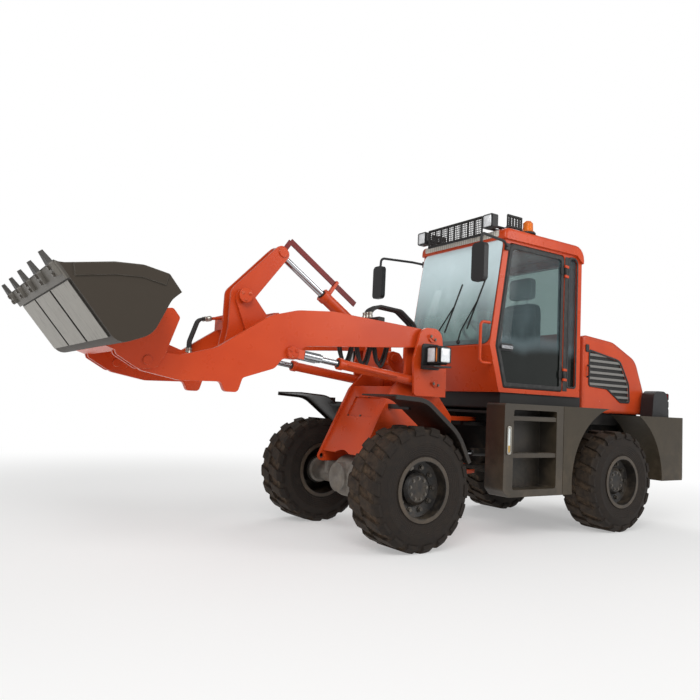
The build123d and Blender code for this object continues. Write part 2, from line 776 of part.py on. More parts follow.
def bucket():
    """Plate bucket: floor, rounded back and spill guard in one sheet, side plates, wear plates."""
    sides = [
        (BUCKET_FLOOR, 0, 0),
        (BUCKET_FLOOR - 20, 26, 10),
        (400, 262, 120),
        (300, 396, 120),
        (175, BUCKET_TOP, 20),
    ]
    body = slab(
        bucket_rows(bucket_back(0) + [(44, BUCKET_TOP, 0)] + sides[::-1]), -BUCKET_HALF, BUCKET_HALF
    )
    room = slab(
        bucket_rows(
            bucket_back(BUCKET_WALL)
            + [(44 + BUCKET_WALL, BUCKET_TOP + 60, 0), (BUCKET_FLOOR + 100, BUCKET_TOP + 60, 0)]
            + [(BUCKET_FLOOR + 100, BUCKET_WALL, 0)]
        ),
        -BUCKET_HALF + BUCKET_WALL,
        BUCKET_HALF - BUCKET_WALL,
    )
    shell = body - room
    strip_rows = [(BUCKET_FLOOR - 46, 64, 0), (394, 262, 0), (296, 394, 0), (176, BUCKET_TOP - 6, 0)]
    strip = slab(bucket_rows(thick(strip_rows, -70)), BUCKET_HALF - 1, BUCKET_HALF + 9)
    guard_low = BUCKET_TOP - 14
    guard_rows = [(44, guard_low, 0), (44, BUCKET_TOP, 0), (126, BUCKET_TOP, 0), (126, guard_low, 0)]
    guard = slab(bucket_rows(guard_rows), -BUCKET_HALF + 2, BUCKET_HALF - 2)
    wear = []
    width = (2 * BUCKET_HALF - 160) / 3
    for i in range(3):
        y0 = -BUCKET_HALF + 40 + i * (width + 40)
        rows = [(60, -10, 0), (BUCKET_FLOOR - 110, -10, 0), (BUCKET_FLOOR - 110, 1, 0), (60, 1, 0)]
        wear.append(slab(bucket_rows(rows), y0, y0 + width))
    return fused(shell, *both(strip), guard, *wear)


def bucket_edge():
    """Bolt-on cutting edge with pointed plate teeth under it."""
    top = -SEAT_GAP
    edge = slab(
        bucket_rows(
            [
                (BUCKET_FLOOR - 100, top, 0),
                (BUCKET_FLOOR - 100, top - EDGE_T, 0),
                (BUCKET_FLOOR + 4, top - EDGE_T, 0),
                (BUCKET_FLOOR + 22, top - EDGE_T + 6, 0),
                (BUCKET_FLOOR, top, 0),
            ]
        ),
        -BUCKET_HALF,
        BUCKET_HALF,
    )
    low = top - EDGE_T
    heel = Vector(BUCKET_HEEL[0], 0, BUCKET_HEEL[1])
    angle = radians(BUCKET_ANGLE)
    floor_plane = Plane(heel, x_dir=(cos(angle), 0, sin(angle)), z_dir=(-sin(angle), 0, cos(angle)))
    teeth = []
    for i in range(TOOTH_COUNT):
        y = (2 * i / (TOOTH_COUNT - 1) - 1) * (BUCKET_HALF - TOOTH_W / 2 - 4)
        back = BUCKET_FLOOR - 64
        rows = [
            (back, y - TOOTH_W / 2, 0),
            (BUCKET_FLOOR + 10, y - TOOTH_W / 2, 0),
            (BUCKET_FLOOR + TOOTH_REACH, y - 8, 0),
            (BUCKET_FLOOR + TOOTH_REACH, y + 8, 0),
            (BUCKET_FLOOR + 10, y + TOOTH_W / 2, 0),
            (back, y + TOOTH_W / 2, 0),
        ]
        blade = extrude(floor_plane.offset(low - TOOTH_T) * flat(rows), amount=TOOTH_T + 1)
        teeth.append(blade)
    return fused(edge, *teeth)


def coupler():
    """Bucket carrier: paired ears round each boom arm, a back plate and the link's ears."""
    gap = ARM_T / 2 + RUN_GAP
    ear_rows = [
        (2182, 1330, 26),
        (2036, 1246, 60),
        (1916, 1256, 60),
        (1866, 1350, 60),
        (1780, 1606, 24),
        (1832, 1666, 24),
        (2010, 1640, 0),
        (2210, 1420, 0),
    ]
    pieces = []
    for y0 in (ARM_Y + gap, ARM_Y - gap - COUPLER_T):
        pieces += both(slab(ear_rows, y0, y0 + COUPLER_T))
    back_rows = [(1806, 1640, 0), (2176, 1352, 0), (2260, 1380, 0), (1960, 1690, 0)]
    plate = slab(back_rows, -ARM_Y - gap - COUPLER_T, ARM_Y + gap + COUPLER_T)
    link_rows = [
        (LINK_EYE[0] - 60, LINK_EYE[1] - 20, 46),
        (LINK_EYE[0] + 10, LINK_EYE[1] - 66, 46),
        (2080, 1420, 0),
        (1900, 1580, 0),
        (LINK_EYE[0] - 20, LINK_EYE[1] + 66, 46),
    ]
    ear_in = ROCKER_Y + 16
    link_ears = both(slab(link_rows, ear_in, ear_in + COUPLER_T))
    pin = cross(BUCKET_PIVOT, BUCKET_PIN_R, ARM_Y - gap - COUPLER_T - 10, ARM_Y + gap + COUPLER_T + 10)
    whole = fused(plate, *pieces, *link_ears, *both(pin))
    bucket_space = slab(
        bucket_rows(
            [(u - SEAT_GAP, n, r) for u, n, r in bucket_back(0)]
            + [(44 - SEAT_GAP, BUCKET_TOP + 400, 0), (900, BUCKET_TOP + 400, 0), (900, -SEAT_GAP, 0)]
        ),
        -BUCKET_HALF,
        BUCKET_HALF,
    )
    return whole - bucket_space


def eye_cylinder(base, head, length, radius, half, y, bore):
    """Cylinder barrel from a base eye, closed, with a gland at its head."""
    start = along(base, head, radius * 0.9)
    end = along(base, head, length)
    gland = along(base, head, length - radius * 0.9)
    tube = bar((start[0], y, start[1]), (end[0], y, end[1]), radius)
    collar = bar((gland[0], y, gland[1]), (end[0], y, end[1]), radius + 7)
    eye = cross(base, radius + 8, y - half, y + half)
    room = along(base, head, radius * 1.6)
    hole = bar((room[0], y, room[1]), along_xyz(base, head, length + 1, y), bore + PIN_CLEAR)
    return fused(tube, collar, eye) - hole


def along_xyz(base, head, distance, y):
    """Point in space at a distance along a side-view line."""
    point = along(base, head, distance)
    return (point[0], y, point[1])


def lift_cylinders():
    """Both lift barrels on the frame's pins and both rods with long forks round the arms."""
    base = LIFT_BASE
    eye = LIFT_EYE
    length = hypot(eye[0] - base[0], eye[1] - base[1])
    barrel = eye_cylinder(base, eye, LIFT_BARREL_LENGTH, LIFT_BARREL_R, LIFT_BARREL_R - 4, ARM_Y, LIFT_ROD_R)
    barrel -= cross(base, LIFT_PIN_R + PIN_CLEAR, 0, 2 * ARM_Y)
    # Oil pipe along the barrel's outer side, from a port past the tower to the head port
    line_path = []
    out = LIFT_BARREL_R + LINE_R + 12
    seat = LIFT_BARREL_R - 4
    head = LIFT_BARREL_LENGTH - 70
    for distance, y in ((LINE_START, seat), (LINE_START, out), (head, out), (head, seat)):
        line_path.append(along_xyz(base, eye, distance, ARM_Y + y))
    line = bent(line_path, LINE_R, 2 * LINE_R)
    nodes["lift_barrels"] = both(fused(barrel, line))
    fork = length - LIFT_FORK
    inner = ARM_T / 2 + RUN_GAP
    ear_t = 18.0
    rod = bar(along_xyz(base, eye, LIFT_ROD_START, ARM_Y), along_xyz(base, eye, fork, ARM_Y), LIFT_ROD_R)
    tall = LIFT_ROD_R + 4
    yoke_ends = [beside(base, eye, distance, tall) + (0,) for distance in (fork - 30, fork)]
    yoke_rows = thick(yoke_ends, 2 * tall)
    yoke = slab(yoke_rows, ARM_Y - inner - ear_t, ARM_Y + inner + ear_t)
    ears = []
    for y0 in (ARM_Y + inner, ARM_Y - inner - ear_t):
        strap_ends = [beside(base, eye, distance, 34) + (0,) for distance in (fork - 10, length)]
        ears.append(slab(thick(strap_ends, 68), y0, y0 + ear_t))
    ears.append(cross(eye, 48, ARM_Y + inner, ARM_Y + inner + ear_t))
    nodes["lift_rods"] = both(fused(rod, yoke, *ears))


def tilt_cylinder():
    """Tilt barrel with the guide of the level bar, its rod, and the flat bar beside it."""
    base = TILT_BASE
    eye = ROCKER_TOP
    length = hypot(eye[0] - base[0], eye[1] - base[1])
    half = TILT_BARREL_R - 4
    barrel = eye_cylinder(base, eye, TILT_BARREL_LENGTH, TILT_BARREL_R, half, 0, TILT_ROD_R)
    bar_w, bar_t = LEVEL_BAR
    guide_at = TILT_BARREL_LENGTH - 60
    low = TILT_BARREL_R - 6
    guide_ends = [beside(base, eye, guide_at, offset) + (0,) for offset in (low, LEVEL_OFFSET + 34)]
    guide = slab(thick(guide_ends, 26), -bar_t / 2 - 12, bar_t / 2 + 12)
    slot_rows = thick(
        [
            beside(base, eye, guide_at - 40, LEVEL_OFFSET - bar_w / 2 - 2) + (0,),
            beside(base, eye, guide_at - 40, LEVEL_OFFSET + bar_w / 2 + 2) + (0,),
        ],
        100,
    )
    guide -= slab(slot_rows, -bar_t / 2 - 2, bar_t / 2 + 2)
    nodes["tilt_barrel"] = fused(barrel, guide)
    rod_start = along_xyz(base, eye, TILT_BARREL_R * 1.6 + 320, 0)
    rod = bar(rod_start, along_xyz(base, eye, length - 40, 0), TILT_ROD_R)
    eye_half = ROCKER_Y - SEAT_GAP
    boss = cross(eye, 54, -eye_half, eye_half)
    nodes["tilt_rod"] = fused(rod, boss)
    front = beside(base, eye, length - 10, LEVEL_OFFSET + bar_w / 2)
    rear = beside(base, eye, TILT_BARREL_LENGTH - 300, LEVEL_OFFSET + bar_w / 2)
    flat_bar = slab(thick([rear + (0,), front + (0,)], bar_w), -bar_t / 2, bar_t / 2)
    strap_top = beside(base, eye, length - 34, LEVEL_OFFSET)
    strap_low = beside(base, eye, length - 34, 54 * 0.6)
    strap = slab(thick([strap_low + (0,), strap_top + (0,)], 40), -bar_t / 2, bar_t / 2)
    nodes["level_bar"] = fused(flat_bar, strap) - cross(eye, 54 + SEAT_GAP, -50, 50)


def steer_cylinders():
    """Steering barrels on the rear bulkhead and rods to the front frame's lugs."""
    base = STEER_BASE
    eye = STEER_EYE
    length = hypot(eye[0] - base[0], eye[1] - base[1])
    z0 = STEER_Z - STEER_EYE_HALF
    z1 = STEER_Z + STEER_EYE_HALF
    body_start = (*along(base, eye, 30), STEER_Z)
    body = bar(body_start, (*along(base, eye, STEER_BARREL_LENGTH), STEER_Z), STEER_BARREL_R)
    base_eye = bar((*base, z0), (*base, z1), 44)
    bore_start = (*along(base, eye, STEER_BORE_START), STEER_Z)
    bore_end = (*along(base, eye, STEER_BARREL_LENGTH + 1), STEER_Z)
    hole = bar(bore_start, bore_end, STEER_ROD_R + PIN_CLEAR)
    barrel = fused(body, base_eye) - hole - bar((*base, z0 - 1), (*base, z1 + 1), STEER_PIN_R + PIN_CLEAR)
    rod_start = (*along(base, eye, STEER_ROD_START), STEER_Z)
    rod = bar(rod_start, (*along(base, eye, length - 20), STEER_Z), STEER_ROD_R)
    rod = fused(rod, bar((*eye, z0), (*eye, z1), 36))
    nodes["steer_barrel_left"], nodes["steer_barrel_right"] = both(barrel)
    nodes["steer_rod_left"], nodes["steer_rod_right"] = both(rod)


def rear_chassis():
    """Plate side rails, bulkhead with the articulation ears, cab deck on posts and the gearbox."""
    pad_z = TYRE_R + AXLE_PAD_TOP
    axle_x = REAR_AXLE_X
    rows = [
        (BULKHEAD_X, CHASSIS_LOW + 60, 40),
        (BULKHEAD_X, CHASSIS_TOP, 0),
        (CHASSIS_REAR, CHASSIS_TOP, 0),
        (CHASSIS_REAR, CHASSIS_LOW + 120, 60),
        (axle_x - 300, pad_z, 60),
        (axle_x + 300, pad_z, 60),
        (axle_x + 420, CHASSIS_LOW + 60, 60),
    ]
    rail = slab(rows, PLATE_OUT - PLATE_T, PLATE_OUT)
    low = CHASSIS_LOW + 60
    bulkhead = block(BULKHEAD_X - 30, BULKHEAD_X, -BULKHEAD_HALF, BULKHEAD_HALF, low, CHASSIS_TOP)
    shaft_z = TYRE_R + SHAFT_RISE
    bulkhead -= bar((BULKHEAD_X - 60, 0, shaft_z), (BULKHEAD_X + 60, 0, shaft_z), SHAFT_R + 30)
    ears = []
    for z in (EAR_LOW_Z + EAR_T + EAR_GAP, EAR_HIGH_Z):
        bored = bar((HINGE_X, 0, z - 1), (HINGE_X, 0, z + EAR_T + 1), HINGE_PIN_R + PIN_CLEAR)
        ears.append(hinge_ear(z, BULKHEAD_X - 4, 260) - bored)
    steer_ears = []
    for z in (STEER_Z - STEER_EYE_HALF - RUN_GAP - STEER_EAR_T, STEER_Z + STEER_EYE_HALF + RUN_GAP):
        ear_y = (STEER_BASE[1] - 44, STEER_BASE[1] + 44)
        ear = block(BULKHEAD_X - 4, STEER_BASE[0] + 40, *ear_y, z, z + STEER_EAR_T)
        steer_ears += both(ear)
    pin_half = STEER_EYE_HALF + RUN_GAP + STEER_EAR_T
    steer_ears += both(bar((*STEER_BASE, STEER_Z - pin_half), (*STEER_BASE, STEER_Z + pin_half), STEER_PIN_R))
    cab_deck = block(CAB_REAR - 54, DECK_FRONT, -DECK_HALF, DECK_HALF, CHASSIS_TOP - 2, CHASSIS_TOP + DECK_T)
    posts = []
    for x in (DECK_FRONT - 90, CAB_REAR + 110):
        post = bar((x, DECK_HALF - 64, CHASSIS_TOP), (x, DECK_HALF - 64, CAB_FLOOR - SEAT_GAP), 52)
        posts += both(post)
    gearbox = block(GEARBOX_REAR, GEARBOX_FRONT, -220, 220, 500, 980)
    output = bar((GEARBOX_FRONT - 4, 0, shaft_z), (HINGE_X - 215, 0, shaft_z), SHAFT_R)
    inside = PLATE_OUT - 2
    ties = []
    for x in (axle_x + 354, CHASSIS_REAR + 60):
        ties.append(block(x - 15, x + 15, -inside, inside, 760, CHASSIS_TOP))
    mounts = []
    for x in (GEARBOX_REAR + 20, GEARBOX_FRONT - 60):
        mounts.append(block(x, x + 60, -inside, inside, 860, 940))
    lower = [rail, mirror(rail, about=Plane.XZ), bulkhead, *ears, *steer_ears, gearbox, output]
    return fused(*lower, cab_deck, *posts, *ties, *mounts)


def engine():
    """Plain engine block between the rails, ahead of the counterweight."""
    half = PLATE_OUT - PLATE_T - SEAT_GAP
    x = REAR_AXLE_X
    sump = block(x - 566, x + 14, -half, half, 760, 1100)
    head = block(x - 526, x - 26, -230, 230, 1090, 1560)
    return fused(sump, head)


def arch(y0, y1):
    """Round space over a rear tyre."""
    return cross((REAR_AXLE_X, TYRE_R), ARCH_R, y0, y1)


def step_boxes():
    """Tank boxes with a two-rung step recess, one each side of the cab."""
    rows = [
        (BOX_FRONT, PANEL_LOW + 60, 30),
        (BOX_FRONT, PANEL_TOP, 20),
        (BOX_REAR, PANEL_TOP, 0),
        (BOX_REAR, PANEL_LOW, 0),
        (BOX_FRONT - 60, PANEL_LOW, 40),
    ]
    box = slab(rows, BOX_IN, PANEL_Y)
    recess = slab(
        [(BOX_FRONT - 110, PANEL_LOW + 60, 20), (BOX_FRONT - 110, PANEL_TOP - 50, 20)]
        + [(BOX_REAR + 90, PANEL_TOP - 50, 20), (BOX_REAR + 90, PANEL_LOW + 60, 20)],
        PANEL_Y - 190,
        PANEL_Y + 1,
    )
    box -= recess
    rungs = []
    for z in (700, 1010):
        rungs.append(block(BOX_FRONT - 108, BOX_REAR + 88, PANEL_Y - 150, PANEL_Y - 6, z, z + 36))
    seat_z = CHASSIS_TOP + DECK_T + SEAT_GAP
    hanger = block(BOX_FRONT - 430, BOX_REAR + 40, DECK_HALF - 100, BOX_IN + 4, seat_z, PANEL_TOP - 10)
    return fused(box, *rungs, hanger)


def rear_fenders():
    """Side panels ahead of the rear tyres, cut to the round arch."""
    front = BOX_REAR - SEAM
    rear = REAR_AXLE_X + 100
    skin = 14.0
    rows = [(front, PANEL_LOW, 0), (front, PANEL_TOP, 0), (rear, PANEL_TOP, 0), (rear, PANEL_LOW, 0)]
    room_rows = [
        (front - skin, PANEL_LOW - 1, 0),
        (front - skin, PANEL_TOP - skin, 0),
        (rear, PANEL_TOP - skin, 0),
        (rear, PANEL_LOW - 1, 0),
    ]
    solid = slab(rows, FENDER_IN, PANEL_Y) - arch(FENDER_IN - 1, PANEL_Y + 1)
    liner = cross((REAR_AXLE_X, TYRE_R), ARCH_R + skin, FENDER_IN, PANEL_Y + 1)
    hollow = slab(room_rows, FENDER_IN + skin, PANEL_Y - skin) - liner
    seat_z = CHASSIS_TOP + DECK_T + SEAT_GAP
    tongue = block(front - 200, front - 30, DECK_HALF - 100, FENDER_IN + 10, seat_z, PANEL_TOP - 30)
    return fused(solid - hollow, tongue)


def counterweight():
    """Cast weight that wraps the rear of the frame, arched for the tyres, with a bowed rear face."""
    inner = HOOD_HALF + 20
    rows = [
        (REAR_AXLE_X - 100, -PANEL_Y, 0),
        (WEIGHT_REAR, -PANEL_Y, 90),
        (WEIGHT_REAR - WEIGHT_BOW, -300, 400),
        (WEIGHT_REAR - WEIGHT_BOW, 300, 400),
        (WEIGHT_REAR, PANEL_Y, 90),
        (REAR_AXLE_X - 100, PANEL_Y, 0),
        (REAR_AXLE_X - 100, inner, 0),
        (CHASSIS_REAR - SEAT_GAP, inner, 0),
        (CHASSIS_REAR - SEAT_GAP, -inner, 0),
        (REAR_AXLE_X - 100, -inner, 0),
    ]
    cast = deck(rows, WEIGHT_LOW, WEIGHT_TOP)
    cast -= arch(-PANEL_Y - 1, PANEL_Y + 1)
    chamfer_rows = [
        (WEIGHT_REAR - 200, WEIGHT_LOW - 1, 0),
        (WEIGHT_REAR - 200, 600, 0),
        (WEIGHT_REAR - WEIGHT_BOW - 1, 600, 0),
        (WEIGHT_REAR + 60, WEIGHT_LOW - 1, 0),
    ]
    cast -= slab(chamfer_rows, -PANEL_Y - 1, PANEL_Y + 1)
    notch = block(WEIGHT_REAR - 200, WEIGHT_REAR + 30, 560, PANEL_Y + 1, 850, 990)
    cast -= notch
    cast -= mirror(notch, about=Plane.XZ)
    cast -= block(WEIGHT_REAR - 200, HITCH_SEAT, -110, 110, 560, 760)
    lugs = []
    x, z = HOOD_HINGE
    reach = HOOD_KNUCKLE_W / 2 + SEAT_GAP
    for y in (HOOD_HINGE_Y - reach - 24, HOOD_HINGE_Y + reach):
        lugs += both(block(x - 15, x + 15, y, y + 24, WEIGHT_TOP - 2, z + 15))
    return fused(cast, *lugs)


def tow_hitch():
    """Jaw with a vertical pin bore in the counterweight's rear pocket."""
    nose = HITCH_PIN_X - 50
    rows = [(HITCH_SEAT, -90, 0), (HITCH_SEAT, 90, 0), (nose, 70, 40), (nose, -70, 40)]
    jaw = deck(rows, HITCH_Z - HITCH_HALF, HITCH_Z + HITCH_HALF)
    jaw -= block(HITCH_PIN_X - 60, HITCH_PIN_X + 60, -100, 100, HITCH_Z - HITCH_MOUTH, HITCH_Z + HITCH_MOUTH)
    pin_low = (HITCH_PIN_X, 0, HITCH_Z - HITCH_HALF - 1)
    pin_high = (HITCH_PIN_X, 0, HITCH_Z + HITCH_HALF + 1)
    return jaw - bar(pin_low, pin_high, HITCH_PIN_R)


def cab_rows(inset):
    """Side-view outline of the cab, moved in by an inset."""
    return [
        (CAB_TOE - inset, CAB_FLOOR + inset, 0),
        (CAB_KNEE[0] - inset, CAB_KNEE[1], 0),
        (CAB_BROW - inset, CAB_TOP, 0),
        (CAB_REAR + inset, CAB_TOP, 0),
        (CAB_REAR + inset, CAB_FLOOR + inset, 0),
    ]


def door_rows(inset):
    """Side-view outline of a door opening, moved in by an inset."""
    front_low = CAB_TOE - 50
    front_knee = CAB_KNEE[0] - 66
    front_top = CAB_BROW - 54
    return [
        (front_low - inset, DOOR_LOW + inset, 24),
        (front_knee - inset, CAB_KNEE[1], 40),
        (front_top - inset, DOOR_TOP - inset, 40),
        (DOOR_REAR + inset, DOOR_TOP - inset, 40),
        (DOOR_REAR + inset, DOOR_LOW + inset, 24),
    ]


def quarter_rows(inset):
    """Side-view outline of a quarter window behind the door."""
    front = DOOR_REAR - 55
    rear = CAB_REAR + 60
    return [
        (front - inset, QUARTER_LOW + inset, 30),
        (front - inset, DOOR_TOP - inset, 40),
        (rear + inset, DOOR_TOP - inset, 60),
        (rear + inset, QUARTER_LOW + inset, 30),
    ]


def front_pane(inset, depth, near):
    """Sloped pane of the windscreen, following the cab's front."""
    low = 1700.0
    high = 2580.0
    lean = (CAB_BROW - CAB_KNEE[0]) / (CAB_TOP - CAB_KNEE[1])
    x_low = CAB_KNEE[0] + lean * (low + inset - CAB_KNEE[1]) - near
    x_high = CAB_KNEE[0] + lean * (high - inset - CAB_KNEE[1]) - near
    rows = [
        (x_low, low + inset, 0),
        (x_high, high - inset, 0),
        (x_high - depth, high - inset, 0),
        (x_low - depth, low + inset, 0),
    ]
    half = CAB_HALF - 60 - inset
    return slab(rows, -half, half)


def rear_pane_rows(inset):
    """Front-view outline of the rear window."""
    half = CAB_HALF - 110 - inset
    return [
        (-half, 1880 + inset, 30),
        (half, 1880 + inset, 30),
        (half, 2570 - inset, 30),
        (-half, 2570 - inset, 30),
    ]


def cab_shell():
    """Hollow cab frame, open at the top, with door and window openings."""
    body = slab(cab_rows(0), -CAB_HALF, CAB_HALF)
    room_rows = cab_rows(CAB_WALL)
    room_rows[2] = (CAB_BROW - CAB_WALL, CAB_TOP + 1, 0)
    room_rows[3] = (CAB_REAR + CAB_WALL, CAB_TOP + 1, 0)
    body -= slab(room_rows, -CAB_HALF + CAB_WALL, CAB_HALF - CAB_WALL)
    body -= slab(door_rows(0), -CAB_HALF - 1, CAB_HALF + 1)
    body -= slab(quarter_rows(0), -CAB_HALF - 1, CAB_HALF + 1)
    body -= front_pane(0, 120, -30)
    body -= wall(rear_pane_rows(0), CAB_REAR - 1, CAB_REAR + CAB_WALL + 1)
    axis = (DOOR_REAR, DOOR_HINGE_Y)
    lugs = []
    for z in DOOR_KNUCKLES:
        for low in (z - SEAT_GAP - HINGE_LUG_H, z + DOOR_KNUCKLE_H + SEAT_GAP):
            eye = bar((*axis, low), (*axis, low + HINGE_LUG_H), DOOR_KNUCKLE_R)
            root = block(DOOR_REAR - 50, DOOR_REAR, CAB_HALF - 2, DOOR_HINGE_Y, low, low + HINGE_LUG_H)
            lugs += both(fused(eye, root))
    return fused(body, *lugs)


def cab_roof():
    """Shallow roof cap with a rounded edge, overhanging the cab."""
    rows = [
        (CAB_BROW + 30, CAB_TOP + SEAT_GAP, 0),
        (CAB_BROW - 40, CAB_TOP + ROOF_H, 50),
        (CAB_REAR + 220, CAB_TOP + ROOF_H, 100),
        (CAB_REAR - 20, CAB_TOP + SEAT_GAP, 0),
    ]
    return slab(rows, -CAB_HALF - ROOF_LIP, CAB_HALF + ROOF_LIP)


def cab_glass():
    """Windscreen, rear window and quarter windows, set in the middle of their walls."""
    gap = SEAT_GAP
    front = front_pane(gap, GLASS_T, 18)
    rear = wall(rear_pane_rows(gap), CAB_REAR + 20, CAB_REAR + 20 + GLASS_T)
    side = slab(quarter_rows(gap), CAB_HALF - 26, CAB_HALF - 26 + GLASS_T)
    return [front, rear, *both(side)]


def door_window_rows(inset, upper):
    """Side-view outline of a door's upper or lower window."""
    edge = 62 + inset
    rows = door_rows(edge)
    split = CAB_KNEE[1] + 60
    front_top, rear_top = rows[2], rows[3]
    lean = (CAB_BROW - CAB_KNEE[0]) / (CAB_TOP - CAB_KNEE[1])
    if upper:
        low = split + inset
        front_low = rows[1][0] + lean * (low - CAB_KNEE[1])
        return [(front_low, low, 20), front_top, rear_top, (rear_top[0], low, 20)]
    high = split - 110 - inset
    rise = (CAB_KNEE[0] - CAB_TOE) / (CAB_KNEE[1] - CAB_FLOOR)
    front_high = rows[1][0] + rise * (high - CAB_KNEE[1])
    return [rows[0], (front_high, high, 20), (rear_top[0], high, 20), rows[4]]


def doors():
    """Cab doors with two windows each, a pull handle and knuckles at the rear edge."""
    leaf = slab(door_rows(DOOR_GAP), CAB_HALF - CAB_WALL, CAB_HALF)
    panes = []
    for upper in (True, False):
        leaf -= slab(door_window_rows(0, upper), CAB_HALF - CAB_WALL - 1, CAB_HALF + 1)
        panes.append(slab(door_window_rows(SEAT_GAP, upper), CAB_HALF - 26, CAB_HALF - 26 + GLASS_T))
    grip_x = CAB_KNEE[0] - 118
    grip_z = CAB_KNEE[1] - 17
    handle = block(grip_x - 140, grip_x, CAB_HALF - 2, CAB_HALF + 34, grip_z, grip_z + 28)
    knuckles = []
    axis = (DOOR_REAR, DOOR_HINGE_Y)
    for z in DOOR_KNUCKLES:
        top = z + DOOR_KNUCKLE_H
        knuckles.append(bar((*axis, z), (*axis, top), DOOR_KNUCKLE_R))
        knuckles.append(block(DOOR_REAR + 4, DOOR_REAR + 60, CAB_HALF - 2, CAB_HALF + 10, z, top))
    left = fused(leaf, handle, *knuckles)
    nodes["door_left"], nodes["door_right"] = both(left)
    nodes["door_glass_left"] = panes
    nodes["door_glass_right"] = [mirror(pane, about=Plane.XZ) for pane in panes]


def seat():
    """Driver's seat on a box base."""
    x = CAB_REAR + 196
    low = CAB_FLOOR + CAB_WALL
    pan = low + 255
    top = low + 900
    base = block(x + 50, x + 410, -210, 210, low, pan + 5)
    cushion_rows = [(x, pan, 30), (x + 490, pan, 40), (x + 490, pan + 125, 50), (x, pan + 105, 30)]
    rest_rows = [(x + 20, pan + 75, 20), (x + 130, pan + 75, 20), (x + 50, top, 40), (x - 50, top, 40)]
    return fused(base, slab(cushion_rows, -250, 250), slab(rest_rows, -230, 230))


def steering_column():
    """Console, slanted column and steering wheel."""
    x = CAB_TOE - 52
    floor = CAB_FLOOR + CAB_WALL
    console_top = [(x - 120, floor + 330, 40), (x + 30, floor + 380, 40)]
    console_rows = [(x, floor, 0), (x - 180, floor, 40)] + console_top
    console = slab(console_rows, -170, 170)
    low = (x - 70, 0, floor + 300)
    high = (x - 250, 0, floor + 520)
    column = bar(low, high, 34)
    lean = Plane(high, z_dir=Vector(*high) - Vector(*low))
    grip = lean * Torus(190, 15)
    spokes = []
    for i in range(3):
        spokes.append(lean * Rot(0, 0, 120 * i) * Pos(95, 0, 0) * Box(190, 26, 12))
    return fused(console, column, grip, *spokes)


def fence(start, end, low, high, count):
    """Upright mesh panel: two rails and a row of bars between two plan points."""
    rails = []
    for z in (low, high):
        rails.append(bar((*start, z), (*end, z), GUARD_RAIL_R))
    for i in range(count):
        t = i / (count - 1)
        x = start[0] + (end[0] - start[0]) * t
        y = start[1] + (end[1] - start[1]) * t
        rails.append(bar((x, y, low), (x, y, high), GUARD_BAR_R))
    return fused(*rails)


def roof_guard():
    """Mesh visor over the windscreen and mesh panels along both front ends of the roof's sides."""
    top = CAB_TOP + ROOF_H
    x = CAB_BROW + 110
    visor = [fence((x, -VISOR_HALF), (x, VISOR_HALF), top - 50, top + 110, GUARD_BARS)]
    for y in (-VISOR_HALF, VISOR_HALF):
        visor.append(bar((x, y, top + 22), (CAB_BROW - 120, y, top + 22), GUARD_RAIL_R))
        visor.append(block(CAB_BROW - 150, CAB_BROW - 90, y - 22, y + 22, top + SEAT_GAP, top + 36))
    front = (CAB_BROW - 60, SIDE_GUARD_Y)
    rear = (CAB_BROW - 240, SIDE_GUARD_Y)
    side = [fence(front, rear, top + 30, top + 130, SIDE_GUARD_BARS)]
    for post in (front, rear):
        side.append(bar((*post, top + SEAT_GAP), (*post, top + 32), GUARD_RAIL_R))
    return [fused(*visor), *both(fused(*side))]


def lamps():
    """Work lamps at the roof's front corners and tail lamps on the counterweight."""
    top = CAB_TOP + ROOF_H
    x = CAB_BROW + 60
    y0, y1 = 400, 522
    head = wall([(y0, top - 10, 16), (y1, top - 10, 16), (y1, top + 118, 16), (y0, top + 118, 16)], x, x + 70)
    y = (y0 + y1) / 2
    stalk = bar((x + 30, y, top + 22), (CAB_BROW - 120, y, top + 22), GUARD_RAIL_R)
    foot = block(CAB_BROW - 150, CAB_BROW - 90, y - 21, y + 21, top + SEAT_GAP, top + 36)
    rear = WEIGHT_REAR + 20
    low = WEIGHT_TOP + SEAT_GAP
    high = WEIGHT_TOP + 270
    tail_rows = [(rear, low, 0), (rear + 300, low, 0), (rear + 270, high, 90), (rear + 30, high, 90)]
    tail = slab(tail_rows, HOOD_HALF + 24, HOOD_HALF + 164)
    return [*both(fused(head, stalk, foot)), *both(tail)]


def beacon():
    """Amber beacon on the roof's left edge."""
    top = CAB_TOP + ROOF_H + SEAT_GAP
    rows = [(0, 0), (62, 0), (62, 28), (50, 34), (46, 110), (30, 128), (0, 128)]
    face = make_face(Polyline(*[(r, 0, h) for r, h in rows], close=True))
    return Pos(CAB_BROW - 345, CAB_HALF - 50, top) * revolve(face, axis=Axis.Z)


def mirrors():
    """Tall mirrors on bent tube arms from the cab's front pillars."""
    x = MIRROR_X
    head = wall([(640, 2160, 40), (790, 2160, 40), (790, 2490, 40), (640, 2490, 40)], x, x + 50)
    root = (CAB_BROW - 14, CAB_HALF + SEAT_GAP + 12, 2560)
    path = [root, (CAB_BROW + 100, 640, 2580), (x + 10, 715, 2580), (x + 18, 715, 2440)]
    arm = bent(path, 12, 40)
    foot = block(root[0] - 24, root[0] + 24, CAB_HALF + SEAT_GAP, CAB_HALF + 26, 2530, 2590)
    return fused(head, arm, foot)


